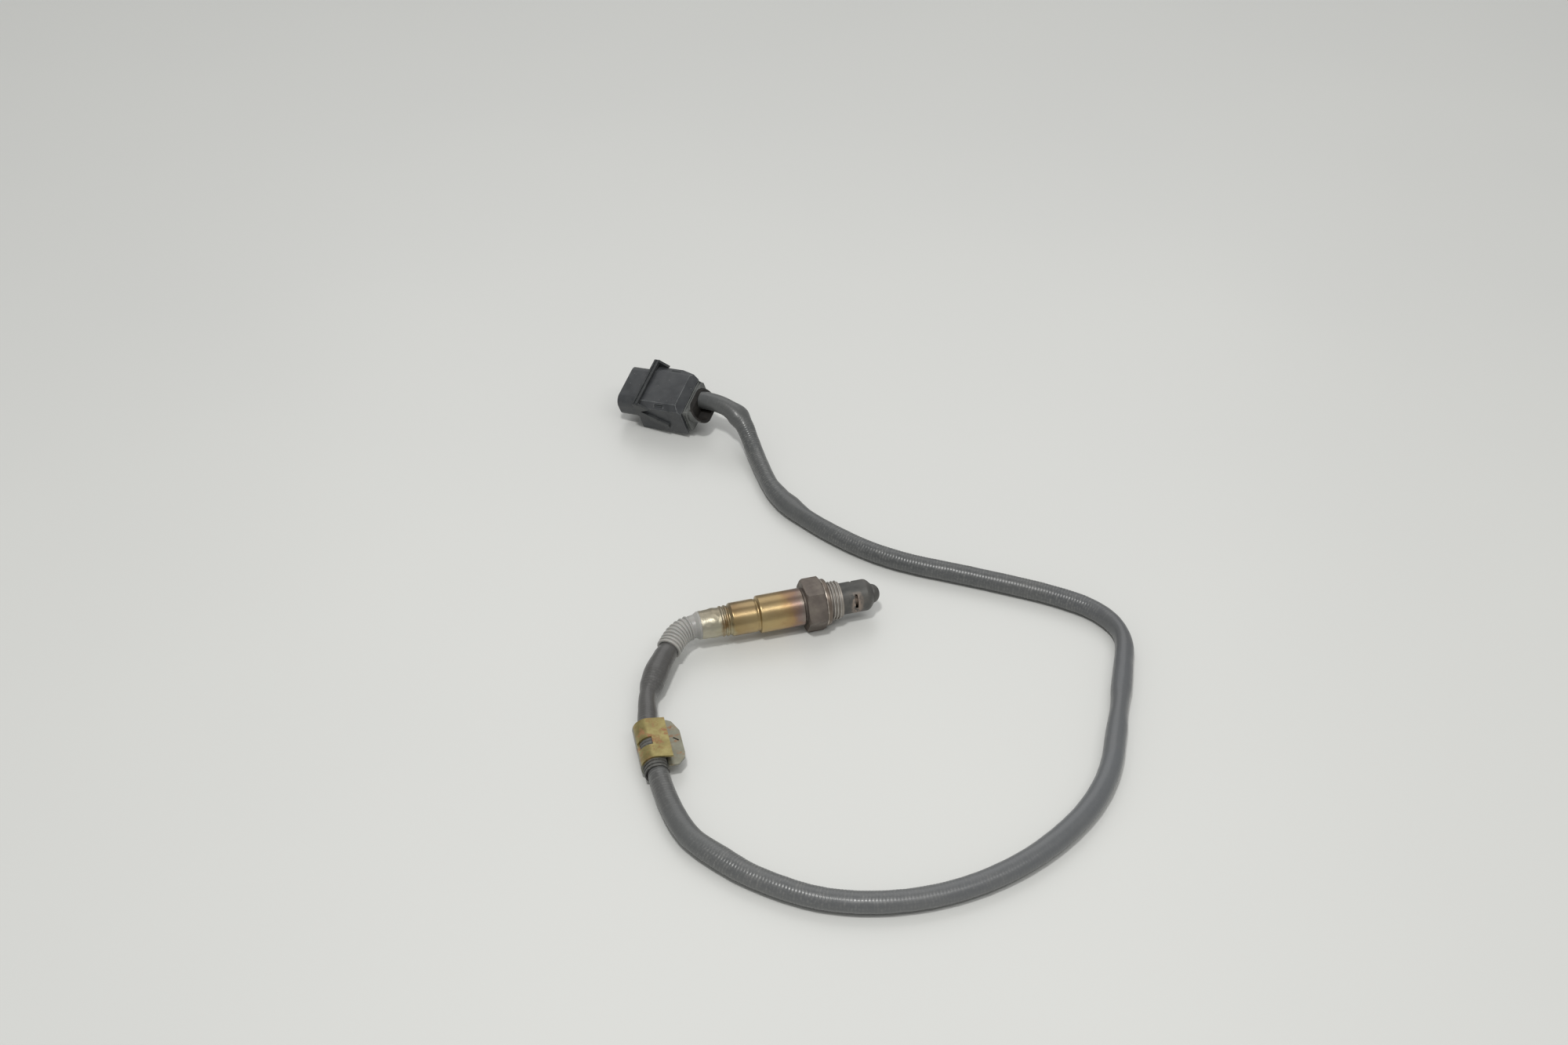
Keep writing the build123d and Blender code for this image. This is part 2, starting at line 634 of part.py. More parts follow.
def make_contact_pins():
    front = nose_length - socket_depth + pin_reach
    pins = []
    for y, z in lead_grid():
        pin = Pos((front - pin_tail) / 2, y, z) * Box(front + pin_tail, pin_size, pin_size)
        pins.append(chamfer(pin.faces().sort_by(Axis.X)[-1].edges(), pin_size * 0.3))
    return plug_frame() * Compound(children=pins)


def make_front_seal():
    rear = nose_length - socket_depth
    outer = slab(rear + front_seal_thickness, rear, socket_width - 0.1, socket_height - 0.1, socket_corner,
                 z=nose_axis_height)
    hole = slab(rear + front_seal_thickness + 1, rear - 1, socket_width - 2 * front_seal_width,
                socket_height - 2 * front_seal_width, socket_corner - front_seal_width, z=nose_axis_height)
    return plug_frame() * (outer - hole)


def make_wire_seals():
    seals = []
    for y, z in lead_grid()[:5]:
        body = Cylinder(wire_seal_diameter / 2 - 0.03, wire_seal_length) - Cylinder(lead_diameter / 2, wire_seal_length)
        seals.append(Pos(-carrier_length + wire_seal_length / 2, y, z) * Rot(0, 90, 0) * body)
    return plug_frame() * Compound(children=seals)


def make_connector_leads():
    wires = []
    front = -carrier_length + wire_seal_length
    for y, z in lead_grid()[:5]:
        wire = Pos((front + cable_seat_x) / 2, y, z) * Rot(0, 90, 0) * Cylinder(lead_diameter / 2, front - cable_seat_x)
        wires.append(wire)
    return plug_frame() * Compound(children=wires)


def make_trim_resistor():
    length, width, height = resistor_size
    body = Box(length, width, height)
    place = Pos(-carrier_length / 2, carrier_width / 2 - width, nose_axis_height + carrier_height / 2 - height / 2)
    return plug_frame() * place * body


def make_lock_frame():
    half = plug_width / 2
    top = plug_height + frame_top_rise
    reach = half + frame_side
    bar = Pos(-frame_thickness / 2, 0, plug_height + frame_top_rise / 2) * Box(
        frame_thickness, 2 * (reach + frame_lip), frame_top_rise)
    bar = fillet(bar.edges().filter_by(Axis.X), frame_top_rise * 0.45)
    groove = Pos(-frame_thickness / 2, 0, top) * Box(frame_thickness * 0.36, 3 * reach, 2 * frame_groove)
    frame = bar - groove
    for side in (-1, 1):
        y = side * (half + frame_side / 2)
        leg_height = top - frame_leg_bottom - frame_top_rise / 2
        leg = Pos(-frame_thickness / 2, y, frame_leg_bottom + leg_height / 2) * Box(
            frame_thickness, frame_side, leg_height)
        start = frame_leg_bottom
        arm = side_profile([(0, start), (0, start + frame_arm_height), (-frame_thickness, start + frame_arm_height),
                            (-frame_arm_length, start + frame_arm_height - frame_arm_drop),
                            (-frame_arm_length, start - frame_arm_drop)], frame_side)
        web_top = top - 0.6
        gusset = side_profile([(0, web_top), (-frame_thickness, web_top),
                               (-frame_thickness - frame_gusset_length, plug_height - frame_gusset_drop / 2),
                               (-frame_thickness, plug_height - frame_gusset_drop),
                               (0, plug_height - frame_gusset_drop)], frame_side)
        frame += leg + Pos(0, y, 0) * arm + Pos(0, y, 0) * gusset
    return plug_frame() * frame


def make_rear_cover():
    cable_y = outlet_cable_offset
    inner_height = cable_diameter + 2 * outlet_cable_gap
    inner_width = inner_height + outlet_spare_width
    middle_y = cable_y - inner_height / 2 + inner_width / 2
    round_corner = inner_height / 2 - 0.05
    half = plug_width / 2
    flange_height = plug_height - plug_slope_drop - 1.6
    near = half - 1.6
    far = -half + plug_far_bevel + 0.6
    flange = plan_cut([(plug_rear, near), (plug_rear, far), (cover_rear, far + 0.8), (cover_rear, near - 0.8)])
    flange &= slab(plug_rear, cover_rear, plug_width, flange_height, 2.0, z=flange_height / 2 + 1.0)
    body = flange
    for k in (0.25, 0.85):
        x = plug_rear + (cover_rear - plug_rear) * k
        body += slab(x + cover_rim_width / 2, x - cover_rim_width / 2, near - far - 1.0 + 2 * cover_rim_rise,
                     flange_height + cover_rim_rise, 2.4, y=(near + far) / 2, z=flange_height / 2 + 1.0)
    body += slab(cover_rear, outlet_rear, inner_width + 2 * outlet_wall, inner_height + 2 * outlet_wall,
                 round_corner + outlet_wall, y=middle_y, z=outlet_axis_height)
    body -= slab(cable_seat_x, outlet_rear - 1, inner_width, inner_height, round_corner, y=middle_y,
                 z=outlet_axis_height)
    low = outlet_axis_height - inner_height / 2 - outlet_wall
    high = outlet_axis_height + inner_height / 2 + outlet_wall
    body -= side_profile([(outlet_rear - 1, low), (outlet_rear, low), (outlet_rear + outlet_scoop, high),
                          (outlet_rear + outlet_scoop, high + 1), (outlet_rear - 1, high + 1)], 3 * plug_width)
    for y, z in lead_grid()[:5]:
        bore = Cylinder(lead_diameter / 2 + lead_play, plug_rear - outlet_rear + 2)
        body -= Pos((plug_rear + outlet_rear) / 2, y, z) * Rot(0, 90, 0) * bore
    return plug_frame() * body


def main():
    os.makedirs("parts", exist_ok=True)
    pieces = {
        "protection_tube_outer": make_protection_tube_outer(),
        "protection_tube_inner": make_protection_tube_inner(),
        "sensor_housing": make_sensor_housing(),
        "sealing_ring": make_sealing_ring(),
        "sensing_element": make_sensing_element(),
        "lower_ceramic_bush": make_packing(packing_front, lower_bush_rear),
        "talc_seal": make_packing(lower_bush_rear, talc_rear),
        "upper_ceramic_bush": make_packing(talc_rear, upper_bush_rear),
        "contact_holder": make_contact_holder(),
        "contact_springs": make_contact_springs(),
        "sensor_leads": make_sensor_leads(),
        "protective_sleeve": make_protective_sleeve(),
        "cable_grommet": make_cable_grommet(),
        "strain_relief_boot": make_strain_relief_boot(),
        "cable_sleeve": make_cable_sleeve(),
        "cable_clip": make_cable_clip(),
        "clip_bush": make_clip_bush(),
        "connector_housing": make_connector_housing(),
        "terminal_carrier": make_terminal_carrier(),
        "contact_pins": make_contact_pins(),
        "front_seal": make_front_seal(),
        "wire_seals": make_wire_seals(),
        "connector_leads": make_connector_leads(),
        "trim_resistor": make_trim_resistor(),
        "lock_frame": make_lock_frame(),
        "rear_cover": make_rear_cover(),
    }
    for name, shape in pieces.items():
        export_step(shape, f"parts/{name}.step")


main()
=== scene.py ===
import math
import bmesh
import bpy
from mathutils import Matrix, Vector, noise


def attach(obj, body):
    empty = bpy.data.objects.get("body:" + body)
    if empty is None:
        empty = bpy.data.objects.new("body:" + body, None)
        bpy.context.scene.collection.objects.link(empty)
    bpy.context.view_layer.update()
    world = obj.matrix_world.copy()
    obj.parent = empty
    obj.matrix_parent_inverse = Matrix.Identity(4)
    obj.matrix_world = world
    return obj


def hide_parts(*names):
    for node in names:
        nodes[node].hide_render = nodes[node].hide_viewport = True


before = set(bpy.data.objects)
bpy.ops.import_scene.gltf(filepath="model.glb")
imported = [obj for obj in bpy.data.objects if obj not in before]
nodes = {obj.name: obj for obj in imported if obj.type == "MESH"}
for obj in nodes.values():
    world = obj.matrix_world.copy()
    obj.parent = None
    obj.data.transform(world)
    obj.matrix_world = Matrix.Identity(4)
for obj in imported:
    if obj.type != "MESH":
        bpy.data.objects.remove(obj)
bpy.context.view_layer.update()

mm = 0.001
scene = bpy.context.scene


def toLinear(hexColour):
    values = []
    for i in (1, 3, 5):
        c = int(hexColour[i:i + 2], 16) / 255
        values.append(c / 12.92 if c <= 0.04045 else ((c + 0.055) / 1.055) ** 2.4)
    return (*values, 1.0)


def addNode(tree, kind, inputs=(), stops=(), **settings):
    # shader nodes go by their short name; inputs are sockets, values or hex colours, by name or in order
    node = tree.nodes.new(kind if "Node" in kind else "ShaderNode" + kind)
    for key, value in settings.items():
        setattr(node, key, value)
    for key, value in inputs.items() if isinstance(inputs, dict) else enumerate(inputs):
        if isinstance(value, bpy.types.NodeSocket):
            tree.links.new(value, node.inputs[key])
        else:
            node.inputs[key].default_value = toLinear(value) if isinstance(value, str) else value
    if stops:
        elements = node.color_ramp.elements
        elements.remove(elements[-1])
        elements[0].position, elements[0].color = stops[0][0], toLinear(stops[0][1])
        for place, colour in stops[1:]:
            elements.new(place).color = toLinear(colour)
    return node.outputs


def startMaterial(name, **surface):
    material = bpy.data.materials.new(name)
    material.use_nodes = True
    tree = material.node_tree
    shader = tree.nodes["Principled BSDF"]
    for key, value in surface.items():
        shader.inputs[key.replace("_", " ")].default_value = value
    place = addNode(tree, "TexCoord")["Object"]
    return material, tree, place


def finishMaterial(material, **sockets):
    tree = material.node_tree
    shader = tree.nodes["Principled BSDF"]
    for key, value in sockets.items():
        tree.links.new(value, shader.inputs[key.replace("_", " ")])
    return material


def meshPiece(name, vertices, faces, material, uv=None):
    mesh = bpy.data.meshes.new(name)
    mesh.from_pydata(vertices, [], faces)
    if uv is not None:
        layer = mesh.uv_layers.new(name="along")
        for loop in mesh.loops:
            layer.data[loop.index].uv = uv[loop.vertex_index]
    mesh.polygons.foreach_set("use_smooth", [True] * len(mesh.polygons))
    mesh.materials.append(material)
    piece = bpy.data.objects.new(name, mesh)
    scene.collection.objects.link(piece)
    return piece


def settle(piece, slotName, *replaced):
    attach(piece, "root")
    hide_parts(*replaced)
    return piece


def bakeModifiers(piece):
    bpy.context.view_layer.update()
    evaluated = piece.evaluated_get(bpy.context.evaluated_depsgraph_get())
    mesh = bpy.data.meshes.new_from_object(evaluated)
    mesh.name = piece.name
    finished = bpy.data.objects.new(piece.name + "Done", mesh)
    scene.collection.objects.link(finished)
    name = piece.name
    bpy.data.objects.remove(piece)
    finished.name = name
    return finished


# camera, floor and light: places in metres, angles in degrees, lens and sensor in mm
view = {"place": (-0.2001, -0.6434, 0.5970), "tilt": 50.75, "turn": -15.61, "lens": 45.18, "sensor": 36,
        "farthest": 20, "floorHeight": -0.0110, "floorHalf": 3.0}
cameraData = bpy.data.cameras.new("camera")
cameraData.lens = view["lens"]
cameraData.sensor_width = view["sensor"]
cameraData.clip_end = view["farthest"]
camera = bpy.data.objects.new("camera", cameraData)
camera.location = view["place"]
camera.rotation_euler = (math.radians(view["tilt"]), 0, math.radians(view["turn"]))
scene.collection.objects.link(camera)
scene.camera = camera

floorMaterial, tree, place = startMaterial("paleGlossyTable", Roughness=0.32)
cloudy = addNode(tree, "TexNoise", {"Vector": place, "Scale": 1 / 0.25, "Detail": 2.0, "Roughness": 0.55})[0]
finishMaterial(floorMaterial, Base_Color=addNode(tree, "Mix", {0: cloudy, 6: "#dcdddb", 7: "#e1e2df"},
                                                 data_type="RGBA")[2])
corners = [(x, y, view["floorHeight"]) for x, y in ((-1, -1), (1, -1), (1, 1), (-1, 1))]
floor = meshPiece("table", [(x * view["floorHalf"], y * view["floorHalf"], z) for x, y, z in corners],
                  [(0, 1, 2, 3)], floorMaterial)

# places and sizes in metres, power in watts
light = {
    "windowBehind": {"place": (0.35, 1.25, 1.35), "target": (0, 0, 0), "size": (1.4, 1.4), "power": 5.0,
                     "colour": "#ffffff"},
    "lampOverhead": {"place": (-0.30, -0.42, 1.50), "target": (0, 0, 0), "size": (0.16, 0.16), "power": 8.8,
                     "colour": "#fffefc"},
    "stripOverhead": {"place": (0.35, -0.75, 1.41), "target": (0.35, 0, 0), "size": (1.4, 0.24), "power": 4.5,
                      "colour": "#fffefc"},
}
sky = {"colour": "#f0f0ee", "strength": 0.45}


def areaLight(name, place, target, size, power, colour):
    data = bpy.data.lights.new(name, "AREA")
    data.shape = "RECTANGLE"
    data.size, data.size_y = size
    data.energy = power
    data.color = toLinear(colour)[:3]
    lamp = bpy.data.objects.new(name, data)
    lamp.location = place
    lamp.rotation_euler = (Vector(target) - Vector(place)).to_track_quat("-Z", "Y").to_euler()
    scene.collection.objects.link(lamp)


for name, given in light.items():
    areaLight(name, **given)
world = bpy.data.worlds.new("paleRoom")
world.use_nodes = True
scene.world = world
background = world.node_tree.nodes["Background"]
background.inputs["Color"].default_value = toLinear(sky["colour"])
background.inputs["Strength"].default_value = sky["strength"]
scene.view_settings.view_transform = "Standard"
print("camera, floor and light are in place")


# the cable: the route repeats the source's corners, in mm
cable = {
    "diameter": 9.2, "length": 690, "ribPitch": 1.4, "ribRise": 0.10, "around": 28, "stepsPerRib": 6,
    "curveSteps": 24, "clearance": 0.02, "wander": 0.16, "wanderLength": 14, "fadeLength": 9, "lump": 0.10,
    "lumpLength": 5,
    "route": [(-74.09, -6.99, -0.98), (-95.3, -34.0, -4.81), (-98.4, -97.0, -4.81), (-89.3, -126.6, -6.4),
              (-67.5, -151.4, -6.4), (-36.5, -169.0, -6.4), (4.5, -173.2, -6.4), (45.5, -162.0, -6.4),
              (81.8, -136.6, -6.4), (102.3, -98.6, -6.4), (116.8, -70.2, -6.4), (125.6, -51.8, -6.4),
              (121.5, -33.8, -6.4), (106.0, -17.4, -6.4), (73.5, 5.5, -6.4), (38.0, 28.5, -6.4),
              (14.5, 58.5, -6.4), (0.0, 88.0, -6.4), (-0.8, 117.5, -6.4), (-1.6, 136.0, -0.6),
              (-7.51, 149.06, 9.07), (-19.76, 159.16, 7.12)],
    # distance along the cable, width and height as shares of its diameter, how far it strays to the right of the
    # route, and how strongly its ribs show
    "swell": [(0, 0.98, 0.98, 0, 0.5), (4, 0.98, 0.98, 0, 0.3), (9, 1.08, 1.08, 0.3, 0.2),
              (19, 1.22, 1.16, 0.7, 0.3), (25, 1.14, 1.06, 0.8, 0.6), (32, 0.82, 0.88, 1.4, 0.3),
              (44, 0.93, 0.93, 0.4, 0.3), (52, 1.0, 1.0, 0, 1), (82, 1.0, 1.0, 0, 1), (92, 1.02, 0.98, 0, 0.5),
              (112, 1.06, 0.94, 0, 0.2), (134, 1.16, 0.94, -1.8, 1.3), (150, 1.06, 0.94, -1.4, 1.3),
              (180, 1.04, 0.94, -0.4, 1.1), (230, 1.03, 0.92, 0, 0.7), (290, 1.04, 0.96, 0, 0.2),
              (352, 1.0, 0.98, 0, 0.2), (368, 0.85, 1.0, 0, 0.2), (382, 1.0, 0.98, 0, 0.2),
              (405, 0.92, 0.99, 0, 0.2), (418, 0.80, 1.02, 0, 0.2), (431, 0.93, 0.99, 0, 0.6),
              (446, 1.0, 0.98, 0, 1.3), (480, 1.0, 0.98, 0, 0.9), (560, 1.0, 0.98, 0, 1.2),
              (584, 0.95, 0.98, 0, 0.4), (598, 1.20, 0.98, 0.5, 0.3), (607, 1.08, 0.98, 0.2, 0.8),
              (618, 0.93, 1.0, 0, 1.3), (650, 0.94, 1.0, 0, 1.3), (659, 1.0, 1.0, 0.6, 0.6),
              (665, 1.26, 1.06, 0.5, 0.2), (672, 0.98, 0.98, 0, 0.2), (690, 0.98, 0.98, 0, 0.2)],
}


def splineLine(points):
    curve = bpy.data.curves.new("routeLine", "CURVE")
    curve.dimensions = "3D"
    spline = curve.splines.new("NURBS")
    spline.points.add(len(points) - 1)
    for point, co in zip(spline.points, points):
        point.co = (*(c * mm for c in co), 1)
    spline.order_u = 3
    spline.use_endpoint_u = True
    spline.resolution_u = cable["curveSteps"]
    holder = bpy.data.objects.new("routeLine", curve)
    scene.collection.objects.link(holder)
    bpy.context.view_layer.update()
    mesh = bpy.data.meshes.new_from_object(holder)
    line = [v.co.copy() for v in mesh.vertices]
    bpy.data.objects.remove(holder)
    return line


def evenPoints(line, step):
    lengths = [0.0]
    for a, b in zip(line, line[1:]):
        lengths.append(lengths[-1] + (b - a).length)
    count = max(2, round(lengths[-1] / step))
    points, k = [], 0
    for i in range(count + 1):
        want = lengths[-1] * i / count
        while k < len(line) - 2 and lengths[k + 1] < want:
            k += 1
        share = (want - lengths[k]) / max(lengths[k + 1] - lengths[k], 1e-12)
        points.append((line[k].lerp(line[k + 1], min(max(share, 0), 1)), want))
    return points


def between(table, s):
    for (s0, *a), (s1, *b) in zip(table, table[1:]):
        if s <= s1:
            t = (s - s0) / (s1 - s0)
            t = min(max(t, 0), 1)
            t = t * t * (3 - 2 * t)
            return [x + (y - x) * t for x, y in zip(a, b)]
    return list(table[-1][1:])


def cableMaterial():
    # glass-fibre sleeve dipped in a rubbery coating: mid grey with a satin sheen, scuffed paler on its ribs
    material, tree, place = startMaterial("coatedGlassFibreSleeve", Specular_IOR_Level=0.6, Coat_Weight=0.25,
                                          Coat_Roughness=0.22)
    along = addNode(tree, "UVMap", uv_map="along")["UV"]
    broad = addNode(tree, "TexNoise", {"Vector": place, "Scale": 1 / 0.030, "Detail": 3.0, "Roughness": 0.55})[0]
    fine = addNode(tree, "TexNoise", {"Vector": place, "Scale": 1 / 0.0016, "Detail": 4.0, "Roughness": 0.7})[0]
    # darker at both ends and browner at the start, bluer and paler along the middle
    run = addNode(tree, "SeparateXYZ", [along])[0]
    wander = addNode(tree, "MapRange", [broad, 0.25, 0.75, -0.025, 0.025])[0]
    shifted = addNode(tree, "Math", [wander, run], operation="ADD")[0]
    colour = addNode(tree, "ValToRGB", [addNode(tree, "MapRange", [shifted, 0.0, cable["length"] * mm])[0]],
                     stops=[(0.0, "#4c4b4a"), (0.08, "#4d4c4b"), (0.16, "#5a5c5c"), (0.32, "#606264"),
                            (0.48, "#606366"), (0.58, "#595b5e"), (0.68, "#515354"), (1.0, "#4e5050")])[0]
    greyed = addNode(tree, "MapRange", [broad, 0.45, 0.8, 0.0, 0.35])[0]
    colour = addNode(tree, "Mix", {0: greyed, 6: colour, 7: "#6d6d6b"}, data_type="RGBA")[2]
    crest = addNode(tree, "Attribute", attribute_name="crest")["Fac"]
    dusty = addNode(tree, "MapRange", [fine, 0.45, 0.75])[0]
    scuff = addNode(tree, "Math", [crest, dusty], operation="MULTIPLY")[0]
    colour = addNode(tree, "Mix", {0: scuff, 6: colour, 7: "#7b7b79"}, data_type="RGBA")[2]
    # woven threads, about 41 round the sleeve and 0.7 mm apart, show faintly through the coating
    weave = addNode(tree, "TexWave", {"Vector": along, "Scale": 82 / 6.283, "Distortion": 0.6, "Detail": 1.0},
                    bands_direction="Y")["Fac"]
    rough = addNode(tree, "MapRange", [fine, 0.3, 0.7, 0.30, 0.44])[0]
    woven = addNode(tree, "Bump", {"Height": weave, "Distance": 0.00003, "Strength": 0.25})[0]
    grain = addNode(tree, "Bump", {"Height": fine, "Distance": 0.00005, "Strength": 0.3, "Normal": woven})[0]
    return finishMaterial(material, Base_Color=colour, Roughness=rough, Normal=grain)


def makeCable():
    step = cable["ribPitch"] * mm / cable["stepsPerRib"]
    rings = evenPoints(splineLine(cable["route"]), step)
    around = cable["around"]
    radius = cable["diameter"] / 2 * mm
    vertices, uv, crests, centres = [], [], [], []
    for i, (centre, s) in enumerate(rings):
        before = rings[max(i - 1, 0)][0]
        after = rings[min(i + 1, len(rings) - 1)][0]
        tangent = (after - before).normalized()
        side = tangent.cross(Vector((0, 0, 1))).normalized()
        up = side.cross(tangent).normalized()
        wide, high, aside, ribbing = between(cable["swell"], s / mm)
        centre = centre + side * aside * mm
        wander = noise.noise(Vector((s / mm / cable["wanderLength"], 3.1, 0.7))) * cable["wander"]
        phase = (s / mm / cable["ribPitch"] + wander) % 1.0
        ridge = 0.5 + 0.5 * math.cos(2 * math.pi * phase)
        ridge = ridge ** 0.8
        strength = (0.75 + 0.5 * noise.noise(Vector((s / mm / cable["fadeLength"], 8.2, 1.3)))) * ribbing
        edge = min(1.0, s / mm, (rings[-1][1] - s) / mm)
        for k in range(around):
            angle = 2 * math.pi * k / around
            c, d = math.cos(angle), math.sin(angle)
            lump = cable["lump"] * noise.noise(Vector((s / mm / cable["lumpLength"], c * 1.3, d * 1.3 + 5)))
            r = radius - cable["ribRise"] * mm * (1 - ridge) * strength + lump * mm
            point = centre + side * (c * r * wide) + up * (d * r * high)
            point.z = max(point.z, view["floorHeight"] + cable["clearance"] * mm)
            vertices.append(point)
            uv.append((s, k / around))
            crests.append(ridge * edge * ribbing)
        centres.append(tuple(centre))
    faces = []
    count = len(rings)
    for i in range(count - 1):
        for k in range(around):
            a, b = i * around + k, i * around + (k + 1) % around
            faces.append((a, b, b + around, a + around))
    faces.append(tuple(reversed(range(around))))
    faces.append(tuple(range((count - 1) * around, count * around)))
    piece = meshPiece("ribbedCable", vertices, faces, cableMaterial(), uv=uv)
    attribute = piece.data.attributes.new("crest", "FLOAT", "POINT")
    attribute.data.foreach_set("value", crests)
    fixOutward(piece)
    return piece, centres


def fixOutward(piece):
    work = bmesh.new()
    work.from_mesh(piece.data)
    bmesh.ops.recalc_face_normals(work, faces=work.faces)
    work.to_mesh(piece.data)
    work.free()


ribbedCable, cablePath = makeCable()
settle(ribbedCable, "sleeve_weave", "cable_sleeve")
print("cable made,", len(ribbedCable.data.polygons), "faces")


# metal body: housing with its thread, and the tinted sleeve
def paint(nodeName, material):
    slots = nodes[nodeName].data.materials
    if len(nodes[nodeName].material_slots) == 0:
        slots.append(material)
    for entry in nodes[nodeName].material_slots:
        entry.link = "OBJECT"
        entry.material = material


def axisRadius(tree, y, z):
    squares = addNode(tree, "Math", [y, y], operation="MULTIPLY")[0]
    squares = addNode(tree, "Math", [z, z, squares], operation="MULTIPLY_ADD")[0]
    return addNode(tree, "Math", [squares], operation="SQRT")[0]


def scorchedSteel():
    # heat-browned steel: grey-brown oxide skin, dull, with paler rubbed patches
    material, tree, place = startMaterial("heatBrownedSteel", Metallic=0.6)
    broad = addNode(tree, "TexNoise", {"Vector": place, "Scale": 1 / 0.0065, "Detail": 5.0, "Roughness": 0.6})[0]
    fine = addNode(tree, "TexNoise", {"Vector": place, "Scale": 1 / 0.0007, "Detail": 5.0, "Roughness": 0.7})[0]
    colour = addNode(tree, "ValToRGB", [broad], stops=[(0.28, "#655e58"), (0.48, "#726a64"), (0.60, "#7d756d"),
                                                       (0.76, "#8b837a")])[0]
    pits = addNode(tree, "MapRange", [fine, 0.62, 0.74])[0]
    colour = addNode(tree, "Mix", {0: pits, 6: colour, 7: "#5a4a40"}, data_type="RGBA")[2]
    rough = addNode(tree, "MapRange", [broad, 0.3, 0.7, 0.64, 0.50])[0]
    # the lathe's tool marks run round the axis
    drawn = addNode(tree, "Mapping", {"Vector": place, "Scale": (8.0, 1.0, 1.0)})[0]
    turned = addNode(tree, "TexNoise", {"Vector": drawn, "Scale": 1 / 0.0012, "Detail": 3.0, "Roughness": 0.6})[0]
    marks = addNode(tree, "Bump", {"Height": turned, "Distance": 0.00004, "Strength": 0.35})[0]
    grain = addNode(tree, "Bump", {"Height": fine, "Distance": 0.00005, "Strength": 0.5, "Normal": marks})[0]
    return finishMaterial(material, Base_Color=colour, Roughness=rough, Normal=grain)


def threadSteel():
    # cut thread: brighter grey steel, darker and browner down between the turns
    material, tree, place = startMaterial("greyThreadSteel", Metallic=0.65)
    broad = addNode(tree, "TexNoise", {"Vector": place, "Scale": 1 / 0.0030, "Detail": 4.0, "Roughness": 0.6})[0]
    fine = addNode(tree, "TexNoise", {"Vector": place, "Scale": 1 / 0.0005, "Detail": 4.0, "Roughness": 0.7})[0]
    colour = addNode(tree, "ValToRGB", [broad], stops=[(0.30, "#a39f99"), (0.50, "#b3afa9"), (0.70, "#c6c2bc")])[0]
    x, y, z = addNode(tree, "SeparateXYZ", [place])
    deep = addNode(tree, "MapRange", [axisRadius(tree, y, z), 0.0082, 0.0087, 1.0, 0.0])[0]
    colour = addNode(tree, "Mix", {0: deep, 6: colour, 7: "#9c958d"}, data_type="RGBA")[2]
    rough = addNode(tree, "MapRange", [broad, 0.3, 0.7, 0.56, 0.42])[0]
    grain = addNode(tree, "Bump", {"Height": fine, "Distance": 0.00004, "Strength": 0.5})[0]
    return finishMaterial(material, Base_Color=colour, Roughness=rough, Normal=grain)


# in mm; past threadFrom, whatever stands outside the relief is turned down to the thread's root
housing = {"rootRadius": 8.25, "crestRadius": 8.97, "pitch": 1.5, "firstTurn": 0.95, "lastTurn": 5.2, "sink": 0.1,
           "footShare": 0.86, "crestShare": 0.16, "stepsPerTurn": 72, "edgeRound": 0.35, "threadFrom": 0.25,
           "reliefRadius": 7.8, "paintedFrom": 0.28, "paintedOutside": 7.4}
# weld in metres, angles in degrees
softening = {"weld": 2e-6, "flatAngle": 0.7, "sharpAngle": 30}


def softened(nodeName, pieceName, material, width, segments=2, reshape=None, work=None, edgeMaterial=None):
    mesh = nodes[nodeName].data.copy()
    mesh.name = pieceName
    shape = bmesh.new()
    shape.from_mesh(mesh)
    if reshape:
        for vertex in shape.verts:
            reshape(vertex)
    bmesh.ops.remove_doubles(shape, verts=shape.verts, dist=softening["weld"])
    bmesh.ops.dissolve_limit(shape, angle_limit=math.radians(softening["flatAngle"]), verts=shape.verts,
                             edges=shape.edges)
    if work:
        work(shape)
    bmesh.ops.recalc_face_normals(shape, faces=shape.faces)
    shape.to_mesh(mesh)
    shape.free()
    mesh.materials.clear()
    mesh.materials.append(material)
    if edgeMaterial:
        mesh.materials.append(edgeMaterial)
    for polygon in mesh.polygons:
        polygon.material_index = 0
    mesh.polygons.foreach_set("use_smooth", [True] * len(mesh.polygons))
    piece = bpy.data.objects.new(pieceName, mesh)
    scene.collection.objects.link(piece)
    bevel = piece.modifiers.new("roundedEdges", "BEVEL")
    bevel.width = width * mm
    bevel.segments = segments
    bevel.limit_method = "ANGLE"
    bevel.angle_limit = math.radians(softening["sharpAngle"])
    if edgeMaterial:
        bevel.material = 1
    bevel.miter_outer = "MITER_ARC"
    smooth = piece.modifiers.new("flatFaces", "WEIGHTED_NORMAL")
    smooth.keep_sharp = True
    return bakeModifiers(piece)


def shrinkThread(vertex):
    x, y, z = vertex.co
    r = math.hypot(y, z)
    if x > housing["threadFrom"] * mm and r > housing["reliefRadius"] * mm:
        share = housing["rootRadius"] * mm / r
        vertex.co.y, vertex.co.z = y * share, z * share


hexBody = softened("sensor_housing", "hexBody", scorchedSteel(), housing["edgeRound"], 3, shrinkThread)
settle(hexBody, "housing_steel", "sensor_housing")


